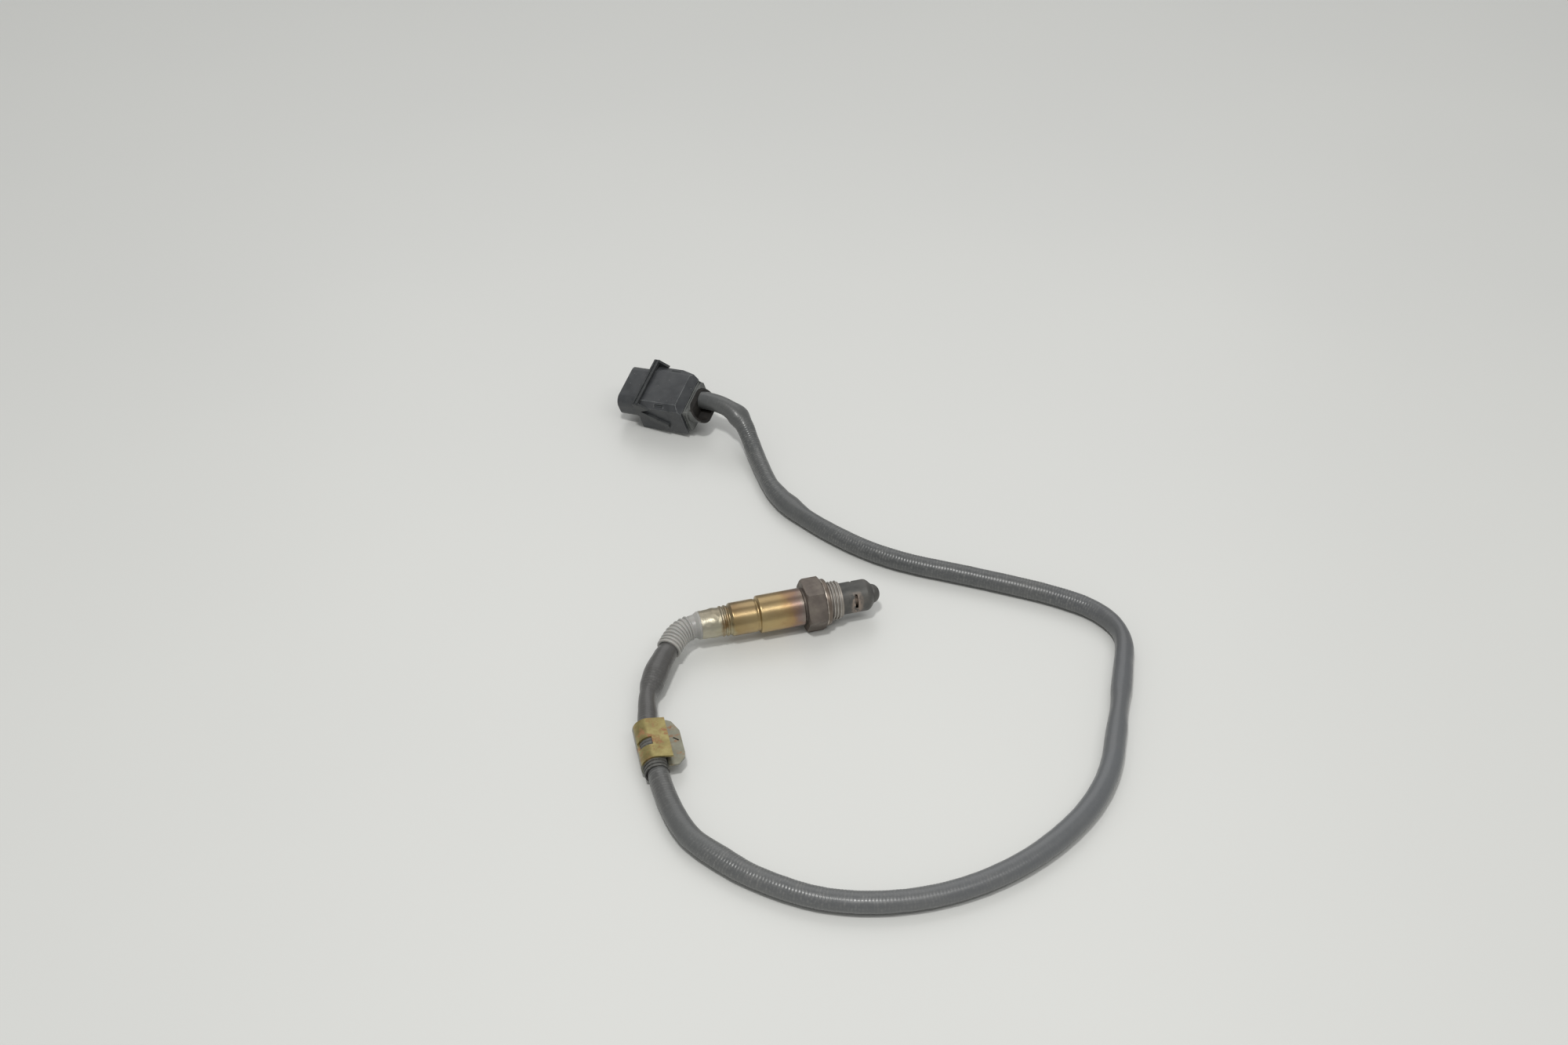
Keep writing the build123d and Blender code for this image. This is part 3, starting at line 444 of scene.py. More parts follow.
def threadTree(material):
    tree = bpy.data.node_groups.new("threadTurns", "GeometryNodeTree")
    for name in ("Crest Radius", "Root Radius", "Pitch", "First Turn", "Last Turn"):
        tree.interface.new_socket(name, in_out="INPUT", socket_type="NodeSocketFloat")
    tree.interface.new_socket("Geometry", in_out="OUTPUT", socket_type="NodeSocketGeometry")
    given = addNode(tree, "NodeGroupInput")
    span = addNode(tree, "Math", [given["Last Turn"], given["First Turn"]], operation="SUBTRACT")[0]
    turns = addNode(tree, "Math", [span, given["Pitch"]], operation="DIVIDE")[0]
    depth = addNode(tree, "Math", [given["Crest Radius"], given["Root Radius"]], operation="SUBTRACT")[0]
    middle = addNode(tree, "Math", [depth, -0.5, given["Crest Radius"]], operation="MULTIPLY_ADD")[0]
    spiral = addNode(tree, "GeometryNodeCurveSpiral", {
        "Resolution": housing["stepsPerTurn"], "Rotations": turns, "Start Radius": middle, "End Radius": middle,
        "Height": span})[0]
    upright = addNode(tree, "GeometryNodeSetCurveNormal", {"Curve": spiral}, mode="Z_UP")[0]
    foot = addNode(tree, "Math", [given["Pitch"], housing["footShare"]], operation="MULTIPLY")[0]
    crest = addNode(tree, "Math", [given["Pitch"], housing["crestShare"]], operation="MULTIPLY")[0]
    section = addNode(tree, "GeometryNodeCurvePrimitiveQuadrilateral", {
        "Bottom Width": foot, "Top Width": crest, "Offset": 0.0, "Height": depth}, mode="TRAPEZOID")[0]
    section = addNode(tree, "GeometryNodeTransform", {"Geometry": section, "Rotation": (0, 0, math.pi / 2)})[0]
    ridge = addNode(tree, "GeometryNodeCurveToMesh", {"Curve": upright, "Profile Curve": section,
                                                      "Fill Caps": True})[0]
    along = addNode(tree, "CombineXYZ", {"X": given["First Turn"]})[0]
    lying = addNode(tree, "GeometryNodeTransform", {"Geometry": ridge, "Rotation": (0, math.pi / 2, 0),
                                                    "Translation": along})[0]
    real = addNode(tree, "GeometryNodeRealizeInstances", {"Geometry": lying})[0]
    painted = addNode(tree, "GeometryNodeSetMaterial", {"Geometry": real, "Material": material})[0]
    addNode(tree, "NodeGroupOutput", {"Geometry": painted})
    return tree


def grown(pieceName, tree, values):
    mesh = bpy.data.meshes.new(pieceName)
    piece = bpy.data.objects.new(pieceName, mesh)
    scene.collection.objects.link(piece)
    modifier = piece.modifiers.new(pieceName, "NODES")
    modifier.node_group = tree
    for item in tree.interface.items_tree:
        if item.in_out == "INPUT" and item.name in values:
            modifier[item.identifier] = values[item.name]
    piece = bakeModifiers(piece)
    fixOutward(piece)
    return piece


steel = threadSteel()
threadPiece = grown("threadTurns", threadTree(steel), {
    "Crest Radius": housing["crestRadius"] * mm, "Root Radius": (housing["rootRadius"] - housing["sink"]) * mm,
    "Pitch": housing["pitch"] * mm, "First Turn": housing["firstTurn"] * mm, "Last Turn": housing["lastTurn"] * mm})
settle(threadPiece, "housing_steel", "sensor_housing")
hexBody.data.materials.append(steel)
for polygon in hexBody.data.polygons:
    x, y, z = polygon.center / mm
    if x > housing["paintedFrom"] and math.hypot(y, z) > housing["paintedOutside"]:
        polygon.material_index = 1
print("housing made,", len(hexBody.data.polygons) + len(threadPiece.data.polygons), "faces; thread reaches",
      round(max(math.hypot(v.co.y, v.co.z) for v in threadPiece.data.vertices) / mm, 3))


# in mm; stations are x on the sensor's axis, while dents and wrinkles set in over stretches of -x
sleeve = {"around": 160, "step": 0.16, "wall": 0.45, "front": -12.0, "end": -59.8, "wide": 8.65, "small": 7.65,
          "crimp": 6.5, "groove": 7.35, "grooveFrom": -32.9, "grooveTo": -34.15, "shoulder": -46.1,
          "stepRun": (0.45, 0.25), "grooveHalf": 0.72, "grooveSquare": 2.6, "shoulderRun": (1.1, 0.8),
          "ribs": [(-47.65, 0.55, 0.62), (-49.65, 0.52, 0.62)], "bead": (-53.4, 0.38, 1.7),
          "lipLength": 0.45, "lipDrop": 0.3, "dent": 0.20, "dentLength": 2.6, "dentFrom": (50.4, 52.0),
          "dentTo": (58.0, 59.6), "wrinkle": 0.03, "wrinklePitch": 0.62, "wrinkleFrom": (56.4, 57.2)}


def easedStep(x, low, high):
    t = min(max((x - low) / (high - low), 0), 1)
    return t * t * (3 - 2 * t)


def sleeveRadius(x):
    r = sleeve["wide"]
    before, after = sleeve["stepRun"]
    r += (sleeve["small"] - sleeve["wide"]) * easedStep(-x, -sleeve["grooveFrom"] - before,
                                                        -sleeve["grooveTo"] + after)
    middle = (sleeve["grooveFrom"] + sleeve["grooveTo"]) / 2
    r -= (r - sleeve["groove"]) * math.exp(-(abs(x - middle) / sleeve["grooveHalf"]) ** sleeve["grooveSquare"])
    before, after = sleeve["shoulderRun"]
    r += (sleeve["crimp"] - sleeve["small"]) * easedStep(-x, -sleeve["shoulder"] - before,
                                                         -sleeve["shoulder"] + after)
    for place, rise, width in sleeve["ribs"]:
        r += rise * math.exp(-((x - place) / width) ** 4)
    place, rise, width = sleeve["bead"]
    r += rise * math.exp(-((x - place) / width) ** 2)
    lip = min((sleeve["front"] - x) / sleeve["lipLength"], 1)
    r -= sleeve["lipDrop"] * (1 - math.sqrt(max(0, 1 - (1 - lip) ** 2)))
    return r


def tintedSteel():
    # stainless sleeve tinted straw and gold by heat, violet and brown beside the hexagon, bare where it is crimped
    material, tree, place = startMaterial("heatTintedStainless", Metallic=1.0)
    x, y, z = addNode(tree, "SeparateXYZ", [place])
    broad = addNode(tree, "TexNoise", {"Vector": place, "Scale": 1 / 0.0075, "Detail": 4.0, "Roughness": 0.6})[0]
    drawn = addNode(tree, "Mapping", {"Vector": place, "Scale": (0.35, 1.0, 1.0)})[0]
    streak = addNode(tree, "TexNoise", {"Vector": drawn, "Scale": 1 / 0.0060, "Detail": 4.0, "Roughness": 0.6})[0]
    fine = addNode(tree, "TexNoise", {"Vector": place, "Scale": 1 / 0.0008, "Detail": 4.0, "Roughness": 0.7})[0]
    # the tint follows the distance from the hexagon, with a ragged front
    shift = addNode(tree, "MapRange", [broad, 0.25, 0.75, -0.0030, 0.0030])[0]
    shifted = addNode(tree, "Math", [x, shift], operation="ADD")[0]
    station = addNode(tree, "MapRange", [shifted, -0.060, sleeve["front"] * mm])[0]
    tint = addNode(tree, "ValToRGB", [station], stops=[
        (0.0, "#bdb9a8"), (0.20, "#b7b29d"), (0.27, "#ada384"), (0.33, "#a69068"), (0.45, "#b29d75"),
        (0.56, "#b8a378"), (0.66, "#bba67a"), (0.76, "#bba376"), (0.83, "#b1946a"), (0.88, "#a2856c"),
        (0.94, "#958079"), (0.975, "#968a83"), (1.0, "#989088")])[0]
    brown = addNode(tree, "Mix", {0: 0.75, 6: tint, 7: "#80644f"}, data_type="RGBA")[2]
    blotch = addNode(tree, "MapRange", [streak, 0.50, 0.72])[0]
    blotch = addNode(tree, "Math", [blotch, 0.5], operation="MULTIPLY")[0]
    tint = addNode(tree, "Mix", {0: blotch, 6: tint, 7: brown}, data_type="RGBA")[2]
    # painted shade: browner and darker along the top, where the metal mirrors the dim room above, most of all on the
    # small end
    top = addNode(tree, "MapRange", [z, 0.0045, 0.0085])[0]
    small = addNode(tree, "MapRange", [x, -0.047, -0.036, 1.0, 0.5])[0]
    top = addNode(tree, "Math", [top, small], operation="MULTIPLY")[0]
    top = addNode(tree, "Math", [top, 0.6], operation="MULTIPLY")[0]
    tint = addNode(tree, "Mix", {0: top, 6: tint, 7: "#7f6553"}, data_type="RGBA")[2]
    # old rust has crept out of the two ribs
    ribsStart = addNode(tree, "MapRange", [x, -0.0515, -0.0500])[0]
    ribsEnd = addNode(tree, "MapRange", [x, -0.0475, -0.0460, 1, 0])[0]
    band = addNode(tree, "Math", [ribsStart, ribsEnd], operation="MULTIPLY")[0]
    patchy = addNode(tree, "MapRange", [broad, 0.42, 0.60, 0.0, 0.75])[0]
    crept = addNode(tree, "Math", [band, patchy], operation="MULTIPLY")[0]
    tint = addNode(tree, "Mix", {0: crept, 6: tint, 7: "#8a6a42"}, data_type="RGBA")[2]
    crimped = addNode(tree, "MapRange", [x, -0.047, -0.0465, 1.0, 0.0])[0]
    polish = addNode(tree, "MapRange", [fine, 0.3, 0.75, 0.29, 0.34])[0]
    rough = addNode(tree, "Math", [crimped, 0.12, polish], operation="MULTIPLY_ADD")[0]
    squeezed = addNode(tree, "Mapping", {"Vector": place, "Scale": (1.6, 1.0, 1.0)})[0]
    dents = addNode(tree, "TexNoise", {"Vector": squeezed, "Scale": 1 / 0.0042, "Detail": 2.0, "Roughness": 0.45})[0]
    dents = addNode(tree, "Math", [dents, crimped], operation="MULTIPLY")[0]
    dented = addNode(tree, "Bump", {"Height": dents, "Distance": 0.00045, "Strength": 0.5})[0]
    grain = addNode(tree, "Bump", {"Height": fine, "Distance": 0.00002, "Strength": 0.15, "Normal": dented})[0]
    return finishMaterial(material, Base_Color=tint, Roughness=rough, Normal=grain)


def makeSleeve():
    count = round((sleeve["front"] - sleeve["end"]) / sleeve["step"])
    stations = [sleeve["front"] - (sleeve["front"] - sleeve["end"]) * i / count for i in range(count + 1)]
    around = sleeve["around"]
    vertices, faces = [], []
    rings = [(x, sleeveRadius(x), True) for x in stations]
    rings += [(x, sleeveRadius(x) - sleeve["wall"], False) for x in reversed(stations[::4] + [stations[-1]])]
    for x, radius, outside in rings:
        crush = 0
        if outside:
            crush = easedStep(-x, *sleeve["dentFrom"]) * (1 - 0.5 * easedStep(-x, *sleeve["dentTo"]))
        for k in range(around):
            a = 2 * math.pi * k / around
            c, d = math.cos(a), math.sin(a)
            r = radius
            if crush:
                flat = noise.noise(Vector((x / sleeve["dentLength"], c * 2.4, d * 2.4 + 4)))
                r -= sleeve["dent"] * crush * max(0, flat + 0.15)
                wave = sleeve["wrinkle"] * math.sin(x * 2 * math.pi / sleeve["wrinklePitch"])
                r += wave * easedStep(-x, *sleeve["wrinkleFrom"])
            vertices.append((x * mm, c * r * mm, d * r * mm))
    total = len(rings)
    for i in range(total):
        j = (i + 1) % total
        for k in range(around):
            n = (k + 1) % around
            faces.append((i * around + k, i * around + n, j * around + n, j * around + k))
    piece = meshPiece("tintedSleeve", vertices, faces, tintedSteel())
    fixOutward(piece)
    return piece


tintedSleeve = settle(makeSleeve(), "tinted_steel", "protective_sleeve")
print("sleeve made,", len(tintedSleeve.data.polygons), "faces")


# tip: double protection tube, and the captive sealing ring
def sootySteel(name, slotLightShare):
    # exhaust soot on stainless: near black and matt, lighter towards the front; behind the slot the inner tube is
    # rust-tinted and painted pale, painted light for the shaded gap between the tubes
    material, tree, place = startMaterial(name, Metallic=0.45)
    x, y, z = addNode(tree, "SeparateXYZ", [place])
    broad = addNode(tree, "TexNoise", {"Vector": place, "Scale": 1 / 0.0055, "Detail": 5.0, "Roughness": 0.6})[0]
    fine = addNode(tree, "TexNoise", {"Vector": place, "Scale": 1 / 0.0006, "Detail": 5.0, "Roughness": 0.7})[0]
    colour = addNode(tree, "ValToRGB", [broad], stops=[(0.30, "#4a4a49"), (0.48, "#555553"), (0.62, "#62605d"),
                                                       (0.78, "#73706b")])[0]
    # a pale belt round the slot on the near side: a rust stain with a painted highlight laid over it
    beltStart = addNode(tree, "MapRange", [x, 0.0090, 0.0112])[0]
    beltEnd = addNode(tree, "MapRange", [x, 0.0135, 0.0160, 1, 0])[0]
    belt = addNode(tree, "Math", [beltStart, beltEnd], operation="MULTIPLY")[0]
    near = addNode(tree, "MapRange", [y, -0.0058, -0.0036, 1.0, 0.0])[0]
    drawn = addNode(tree, "Mapping", {"Vector": place, "Scale": (2.0, 0.8, 0.8)})[0]
    patchy = addNode(tree, "TexNoise", {"Vector": drawn, "Scale": 1 / 0.0026, "Detail": 3.0, "Roughness": 0.6})[0]
    patchy = addNode(tree, "MapRange", [patchy, 0.40, 0.55])[0]
    rustAndHighlight = addNode(tree, "Math", [belt, patchy], operation="MULTIPLY")[0]
    rustAndHighlight = addNode(tree, "Math", [rustAndHighlight, near], operation="MULTIPLY")[0]
    rustAndHighlight = addNode(tree, "Math", [rustAndHighlight, 0.85], operation="MULTIPLY")[0]
    colour = addNode(tree, "Mix", {0: rustAndHighlight, 6: colour, 7: "#a8978a"}, data_type="RGBA")[2]
    # painted light: the inner tube behind the cone gets a pale rust tone, so the shaded gap seen through the slot
    # reads lighter
    inward = addNode(tree, "MapRange", [axisRadius(tree, y, z), 0.0060, 0.0066, 1.0, 0.0])[0]
    behindCone = addNode(tree, "MapRange", [x, 0.0180, 0.0190, 1.0, 0.0])[0]
    inside = addNode(tree, "Math", [inward, behindCone], operation="MULTIPLY")[0]
    colour = addNode(tree, "Mix", {0: inside, 6: colour, 7: "#a89488"}, data_type="RGBA")[2]
    pale = addNode(tree, "MapRange", [x, 0.0100, 0.0180, 0.0, 0.2])[0]
    colour = addNode(tree, "Mix", {0: pale, 6: colour, 7: "#7b7974"}, data_type="RGBA")[2]
    # painted light: back from the cone, the inner tube is lifted paler still, unevenly
    slotLightSpan = addNode(tree, "MapRange", [x, 0.0165, 0.0180, slotLightShare, 0.0])[0]
    uneven = addNode(tree, "MapRange", [broad, 0.2, 0.6, 0.7, 1.0])[0]
    paintedSlotLight = addNode(tree, "Math", [slotLightSpan, uneven], operation="MULTIPLY")[0]
    colour = addNode(tree, "Mix", {0: paintedSlotLight, 6: colour, 7: "#b8a596"}, data_type="RGBA")[2]
    rough = addNode(tree, "MapRange", [broad, 0.3, 0.7, 0.40, 0.58])[0]
    grain = addNode(tree, "Bump", {"Height": fine, "Distance": 0.00005, "Strength": 0.6})[0]
    return finishMaterial(material, Base_Color=colour, Roughness=rough, Normal=grain)


def ringSteel():
    # captive ring: same brown oxide, with a pale band along its outer rim, rubbed metal and a painted highlight
    # together
    material, tree, place = startMaterial("brownedRingSteel", Metallic=0.75)
    broad = addNode(tree, "TexNoise", {"Vector": place, "Scale": 1 / 0.0040, "Detail": 4.0, "Roughness": 0.6})[0]
    fine = addNode(tree, "TexNoise", {"Vector": place, "Scale": 1 / 0.0006, "Detail": 4.0, "Roughness": 0.7})[0]
    x, y, z = addNode(tree, "SeparateXYZ", [place])
    colour = addNode(tree, "ValToRGB", [broad], stops=[(0.30, "#6b6058"), (0.55, "#7d7268"), (0.75, "#8b8077")])[0]
    # painted highlight over rubbed metal: a pale, patchy band along the outer rim
    rimStart = addNode(tree, "MapRange", [x, -0.00255, -0.0024])[0]
    rimEnd = addNode(tree, "MapRange", [x, -0.0020, -0.0018, 1, 0])[0]
    rim = addNode(tree, "Math", [rimStart, rimEnd], operation="MULTIPLY")[0]
    rim = addNode(tree, "Math", [rim, addNode(tree, "MapRange", [broad, 0.35, 0.6])[0]], operation="MULTIPLY")[0]
    colour = addNode(tree, "Mix", {0: rim, 6: colour, 7: "#d8d0c5"}, data_type="RGBA")[2]
    rough = addNode(tree, "MapRange", [broad, 0.3, 0.7, 0.42, 0.28])[0]
    grain = addNode(tree, "Bump", {"Height": fine, "Distance": 0.00004, "Strength": 0.5})[0]
    return finishMaterial(material, Base_Color=colour, Roughness=rough, Normal=grain)


# in mm; the edges within reach of the shoulder's rim are rounded
tube = {"shoulder": 18.9, "radius": 7.3, "round": 1.1, "roundSteps": 6, "reach": 0.05}


def roundShoulder(work):
    edges = [e for e in work.edges if all(
        abs(v.co.x / mm - tube["shoulder"]) < tube["reach"] and
        math.hypot(v.co.y, v.co.z) / mm > tube["radius"] - tube["reach"] for v in e.verts)]
    bmesh.ops.bevel(work, geom=edges, offset=tube["round"] * mm, segments=tube["roundSteps"], profile=0.5,
                    affect="EDGES")


soot = sootySteel("sootyStainless", 0.0)
settle(softened("protection_tube_outer", "sootyTube", soot, 0.08, 1, work=roundShoulder),
       "sooty_steel", "protection_tube_outer")
paint("protection_tube_inner", sootySteel("slotLitInnerStainless", 0.95))
paint("sealing_ring", ringSteel())
print("tip and ring painted")


# strain relief boot and clip
def warmGreyRubber():
    # moulded silicone-like rubber: light warm grey, satin sheen on the rib crests, painted shade darkening the
    # grooves
    material, tree, place = startMaterial("warmGreyRubber", Subsurface_Weight=0.04, Subsurface_Scale=0.001)
    broad = addNode(tree, "TexNoise", {"Vector": place, "Scale": 1 / 0.0080, "Detail": 3.0, "Roughness": 0.55})[0]
    fine = addNode(tree, "TexNoise", {"Vector": place, "Scale": 1 / 0.0007, "Detail": 4.0, "Roughness": 0.7})[0]
    colour = addNode(tree, "ValToRGB", [broad], stops=[(0.30, "#9b9a97"), (0.55, "#a7a6a2"), (0.75, "#b0aea9")])[0]
    hollow = addNode(tree, "NewGeometry")["Pointiness"]
    # painted shade: where the surface curves inward, in the grooves between the ribs, the colour is darkened
    toneShare = addNode(tree, "MapRange", [hollow, 0.40, 0.50, 0.55, 0.0])[0]
    colour = addNode(tree, "Mix", {0: toneShare, 6: colour, 7: "#7d7b77"}, data_type="RGBA")[2]
    bloom = addNode(tree, "MapRange", [fine, 0.62, 0.8, 0, 0.5])[0]
    colour = addNode(tree, "Mix", {0: bloom, 6: colour, 7: "#c6c3bc"}, data_type="RGBA")[2]
    rough = addNode(tree, "MapRange", [fine, 0.3, 0.7, 0.27, 0.42])[0]
    grain = addNode(tree, "Bump", {"Height": fine, "Distance": 0.00004, "Strength": 0.5})[0]
    return finishMaterial(material, Base_Color=colour, Roughness=rough, Normal=grain)


def chromatedSteel():
    # zinc-plated spring steel: yellow chromate on the wrap, grey on the tab, orange rust in patches
    material, tree, place = startMaterial("yellowChromateSteel")
    x, y, z = addNode(tree, "SeparateXYZ", [place])
    broad = addNode(tree, "TexNoise", {"Vector": place, "Scale": 1 / 0.0060, "Detail": 4.0, "Roughness": 0.6})[0]
    fine = addNode(tree, "TexNoise", {"Vector": place, "Scale": 1 / 0.0012, "Detail": 5.0, "Roughness": 0.7})[0]
    colour = addNode(tree, "ValToRGB", [broad], stops=[(0.28, "#877b52"), (0.48, "#998c5c"), (0.62, "#a79b69"),
                                                       (0.78, "#90824f")])[0]
    grey = addNode(tree, "ValToRGB", [broad], stops=[(0.30, "#7a7b72"), (0.70, "#8e8f85")])[0]
    tab = addNode(tree, "MapRange", [z, -0.0036, -0.0022, 1.0, 0.0])[0]
    colour = addNode(tree, "Mix", {0: tab, 6: colour, 7: grey}, data_type="RGBA")[2]
    spots = addNode(tree, "TexNoise", {"Vector": place, "Scale": 1 / 0.0048, "Detail": 6.0, "Roughness": 0.7})[0]
    spots = addNode(tree, "MapRange", [spots, 0.54, 0.64])[0]
    colour = addNode(tree, "Mix", {0: spots, 6: colour, 7: "#a0714f"}, data_type="RGBA")[2]
    drawn = addNode(tree, "Mapping", {"Vector": place, "Scale": (1.0, 0.7, 1.0)})[0]
    stained = addNode(tree, "TexNoise", {"Vector": drawn, "Scale": 1 / 0.0030, "Detail": 4.0, "Roughness": 0.65})[0]
    stained = addNode(tree, "MapRange", [stained, 0.55, 0.68, 0.0, 0.55])[0]
    colour = addNode(tree, "Mix", {0: stained, 6: colour, 7: "#87643f"}, data_type="RGBA")[2]
    dark = addNode(tree, "MapRange", [fine, 0.62, 0.76, 0.0, 0.5])[0]
    colour = addNode(tree, "Mix", {0: dark, 6: colour, 7: "#6d5f4c"}, data_type="RGBA")[2]
    # rust is no metal, and rougher
    metal = addNode(tree, "Math", [spots, -0.6, 0.75], operation="MULTIPLY_ADD")[0]
    rough = addNode(tree, "Math", [spots, 0.35, 0.34], operation="MULTIPLY_ADD")[0]
    grain = addNode(tree, "Bump", {"Height": fine, "Distance": 0.00006, "Strength": 0.5})[0]
    return finishMaterial(material, Base_Color=colour, Metallic=metal, Roughness=rough, Normal=grain)


def ribbedRubber():
    # thin rubber hose under the clip: mid grey, fine ribs across it every 1.9 mm
    material, tree, place = startMaterial("ribbedGreyRubber")
    fine = addNode(tree, "TexNoise", {"Vector": place, "Scale": 1 / 0.0010, "Detail": 4.0, "Roughness": 0.7})[0]
    ribs = addNode(tree, "TexWave", {"Vector": place, "Scale": 0.314 / 0.0019, "Distortion": 0.4, "Detail": 1.0,
                                     "Detail Scale": 2.0}, bands_direction="Y")["Fac"]
    # painted shade and highlight: the colour follows the ribs, dark in the grooves and pale on the crests
    colour = addNode(tree, "Mix", {0: ribs, 6: "#454543", 7: "#646461"}, data_type="RGBA")[2]
    toneShare = addNode(tree, "MapRange", [fine, 0.5, 0.75])[0]
    colour = addNode(tree, "Mix", {0: toneShare, 6: colour, 7: "#76746f"}, data_type="RGBA")[2]
    rough = addNode(tree, "MapRange", [fine, 0.3, 0.7, 0.36, 0.5])[0]
    raised = addNode(tree, "Bump", {"Height": ribs, "Distance": 0.0003, "Strength": 0.7})[0]
    return finishMaterial(material, Base_Color=colour, Roughness=rough, Normal=raised)


paint("strain_relief_boot", warmGreyRubber())
clipPiece = settle(softened("cable_clip", "chromatedClip", chromatedSteel(), 0.12), "zinc_chromate", "cable_clip")
paint("clip_bush", ribbedRubber())
print("boot and clip made")


# plug, lying nose down and rolled towards the near side: its own frame has its origin at the foot of the front
# face and x along the mating direction
plug = {"origin": (-40.7, 179.2), "heading": 140.5, "pitch": 7.0, "roll": -17.0, "halfWidth": 14.0}


def blackPlastic(name, stops, rough, wearColour, wearShare):
    # glass-filled nylon: satin black skin with a fine grain, greyer where it has been handled, dusty specks
    material, tree, place = startMaterial(name)
    broad = addNode(tree, "TexNoise", {"Vector": place, "Scale": 1 / 0.0100, "Detail": 4.0, "Roughness": 0.6})[0]
    middle = addNode(tree, "TexNoise", {"Vector": place, "Scale": 1 / 0.0040, "Detail": 3.0, "Roughness": 0.55})[0]
    dotted = addNode(tree, "TexNoise", {"Vector": place, "Scale": 1 / 0.0014, "Detail": 2.0, "Roughness": 0.5})[0]
    fine = addNode(tree, "TexNoise", {"Vector": place, "Scale": 1 / 0.0005, "Detail": 5.0, "Roughness": 0.7})[0]
    colour = addNode(tree, "ValToRGB", [broad], stops=stops)[0]
    handled = addNode(tree, "MapRange", [middle, 0.35, 0.65])[0]
    rubbed = addNode(tree, "Math", [handled, wearShare], operation="MULTIPLY")[0]
    colour = addNode(tree, "Mix", {0: rubbed, 6: colour, 7: wearColour}, data_type="RGBA")[2]
    specks = addNode(tree, "MapRange", [dotted, 0.73, 0.78])[0]
    colour = addNode(tree, "Mix", {0: specks, 6: colour, 7: "#8f8f8c"}, data_type="RGBA")[2]
    sheen = addNode(tree, "MapRange", [broad, 0.3, 0.7, rough - 0.06, rough + 0.10])[0]
    grain = addNode(tree, "Bump", {"Height": fine, "Distance": 0.00004, "Strength": 0.5})[0]
    return finishMaterial(material, Base_Color=colour, Roughness=sheen, Normal=grain)


bodyPlastic = blackPlastic("satinBlackNylon", [(0.30, "#333538"), (0.55, "#3c3e41"), (0.78, "#46484a")],
                           0.32, "#545657", 0.3)
# the edge materials go on the bevelled edges: paler all through, partly rubbed wear and partly a painted highlight
# along every edge
bodyEdge = blackPlastic("rubbedAndHighlitNylonEdge", [(0.30, "#4b4e50"), (0.78, "#626567")], 0.22, "#989a9a", 0.6)
framePlastic = blackPlastic("glossyBlackNylon", [(0.30, "#2b2d2f"), (0.55, "#343638"), (0.78, "#3e4041")],
                            0.22, "#5c5e5d", 0.3)
frameEdge = blackPlastic("rubbedAndHighlitFrameEdge", [(0.30, "#5c5e5f"), (0.78, "#747677")], 0.20, "#b4b6b5", 0.9)
coverPlastic = blackPlastic("greyedNylon", [(0.30, "#454746"), (0.55, "#525453"), (0.78, "#5f615f")],
                            0.40, "#7a7c79", 0.4)
coverEdge = blackPlastic("rubbedAndHighlitCoverEdge", [(0.30, "#626462"), (0.78, "#757774")], 0.30, "#9a9c98", 0.8)
# painted shade: near black, for the faces deep inside the outlet's rim
hollowPlastic = blackPlastic("paintedShadeHollow", [(0.30, "#171615"), (0.78, "#262422")], 0.5, "#3a3632", 0.4)
plugShell = settle(softened("connector_housing", "plugShell", bodyPlastic, 0.45, 3, edgeMaterial=bodyEdge),
                   "black_plastic", "connector_housing")
plugFrame = settle(softened("lock_frame", "plugLockFrame", framePlastic, 0.22, 2, edgeMaterial=frameEdge),
                   "frame_plastic", "lock_frame")
plugCover = softened("rear_cover", "plugRearCover", coverPlastic, 0.2, 2, edgeMaterial=coverEdge)
plugCover.data.materials.append(hollowPlastic)
heading, pitch, roll = (math.radians(plug[key]) for key in ("heading", "pitch", "roll"))
toPlug = Matrix.Rotation(heading, 4, "Z") @ Matrix.Rotation(pitch, 4, "Y") @ Matrix.Rotation(roll, 4, "X")
lift = plug["halfWidth"] * math.cos(pitch) * math.sin(-roll)
plugFoot = Vector((*plug["origin"], view["floorHeight"] / mm + lift)) * mm
# faces inside the outlet's rim, in the connector's own frame; they get the near-black painted shade
outlet = {"front": -29.4, "height": 10.6, "halfHeight": 4.85, "near": 10.85, "far": -5.85}
for polygon in plugCover.data.polygons:
    local = toPlug.inverted() @ (polygon.center - plugFoot) / mm
    high = abs(local.z - outlet["height"]) < outlet["halfHeight"]
    if high and local.x < outlet["front"] and outlet["far"] < local.y < outlet["near"]:
        polygon.material_index = 2
settle(plugCover, "cover_plastic", "rear_cover")
print("plug made,", sum(len(p.data.polygons) for p in (plugShell, plugFrame, plugCover)), "faces")


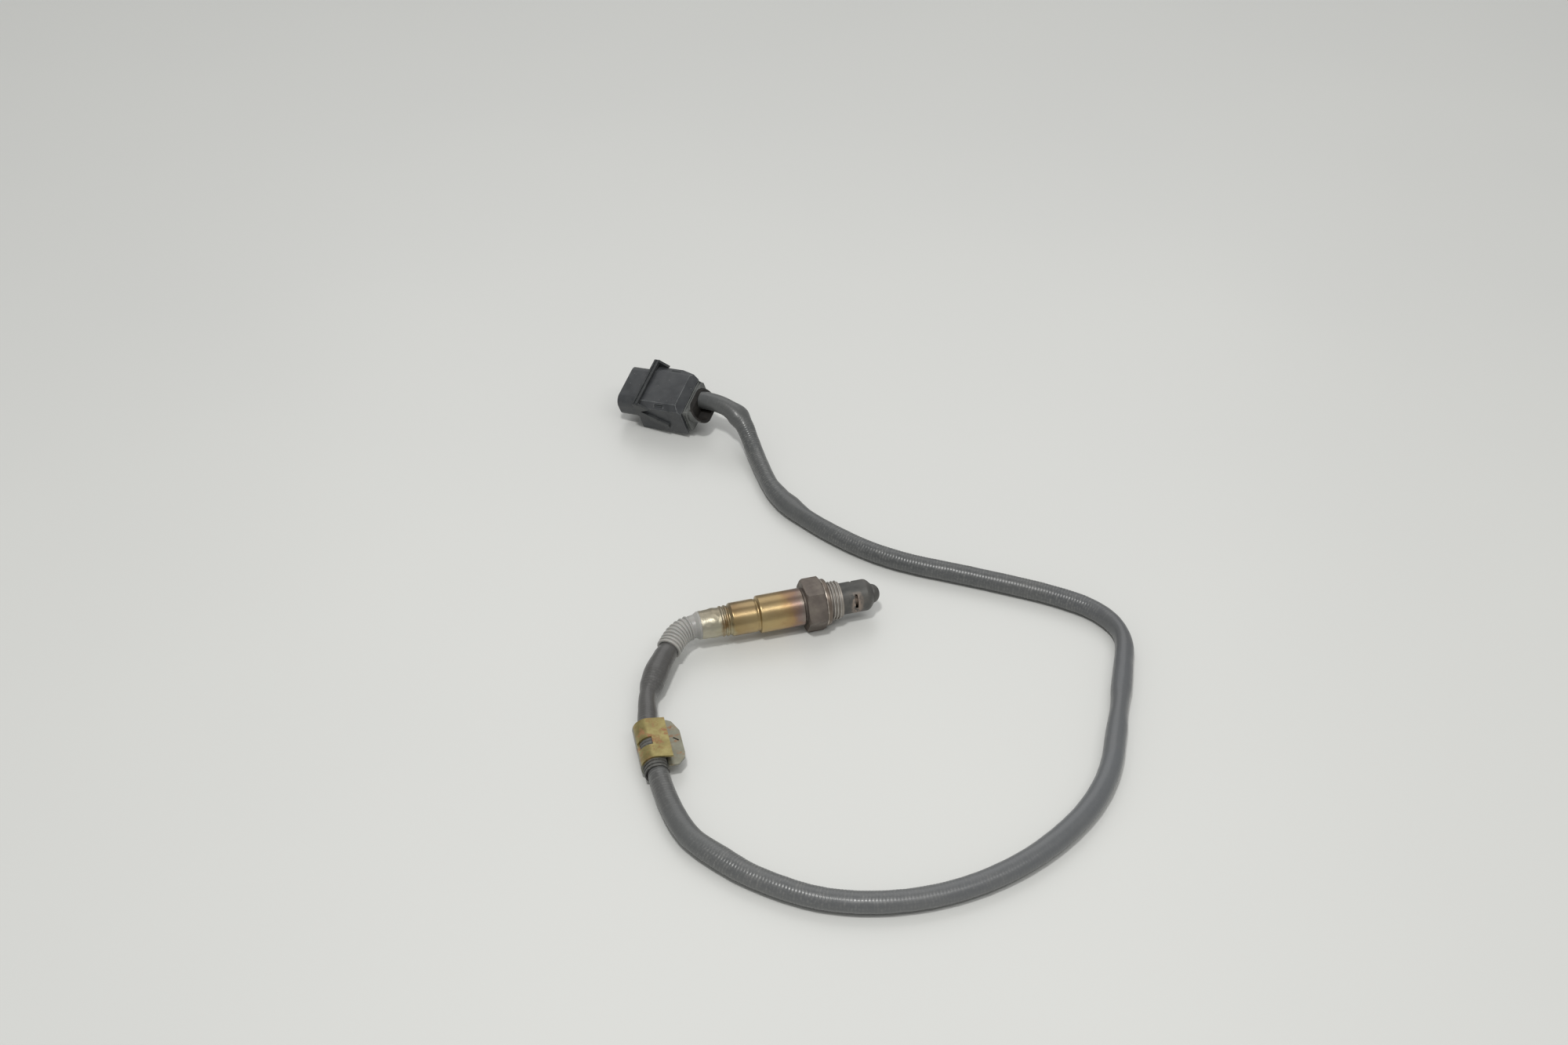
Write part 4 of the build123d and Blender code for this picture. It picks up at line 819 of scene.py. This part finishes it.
def plainGrain(name, first, second, rough, size, metallic):
    # two close tones and a fine grain, for pieces that are mostly out of sight
    material, tree, place = startMaterial(name, Metallic=metallic)
    broad = addNode(tree, "TexNoise", {"Vector": place, "Scale": 1 / size, "Detail": 4.0, "Roughness": 0.6})[0]
    fine = addNode(tree, "TexNoise", {"Vector": place, "Scale": 1 / (size / 5), "Detail": 3.0, "Roughness": 0.6})[0]
    share = addNode(tree, "MapRange", [broad, 0.35, 0.65])[0]
    colour = addNode(tree, "Mix", {0: share, 6: first, 7: second}, data_type="RGBA")[2]
    sheen = addNode(tree, "MapRange", [broad, 0.3, 0.7, rough - 0.05, rough + 0.08])[0]
    grain = addNode(tree, "Bump", {"Height": fine, "Distance": 0.00003, "Strength": 0.4})[0]
    return finishMaterial(material, Base_Color=colour, Roughness=sheen, Normal=grain)


# two tones, roughness, grain size in metres, metallic, and the nodes it is for
inner = {
    "bisqueZirconia": ("#e4e2dc", "#efeee9", 0.5, 0.003, 0.0, ["sensing_element"]),
    "whiteSteatite": ("#e9e6de", "#f3f1ec", 0.55, 0.003, 0.0,
                      ["lower_ceramic_bush", "upper_ceramic_bush", "contact_holder"]),
    "pressedTalc": ("#d8d5cb", "#e6e3da", 0.8, 0.0015, 0.0, ["talc_seal"]),
    "nickelSpring": ("#b9b6ae", "#cfccc4", 0.28, 0.001, 1.0, ["contact_springs"]),
    "tinnedPin": ("#c2c2be", "#dadad6", 0.25, 0.001, 1.0, ["contact_pins"]),
    "leadInsulation": ("#3b3b3a", "#4a4947", 0.5, 0.002, 0.0, ["sensor_leads", "connector_leads"]),
    "blackFluoroRubber": ("#1f1f1f", "#2b2b2a", 0.55, 0.001, 0.0, ["cable_grommet"]),
    "carrierNylon": ("#242527", "#303133", 0.45, 0.001, 0.0, ["terminal_carrier"]),
    "orangeSilicone": ("#8d5a34", "#9b6840", 0.45, 0.001, 0.0, ["front_seal", "wire_seals"]),
    "resistorCeramic": ("#c9c6bd", "#d9d6ce", 0.5, 0.001, 0.0, ["trim_resistor"]),
}
for name, (first, second, rough, size, metallic, owners) in inner.items():
    material = plainGrain(name, first, second, rough, size, metallic)
    for owner in owners:
        paint(owner, material)
print("inner pieces painted")
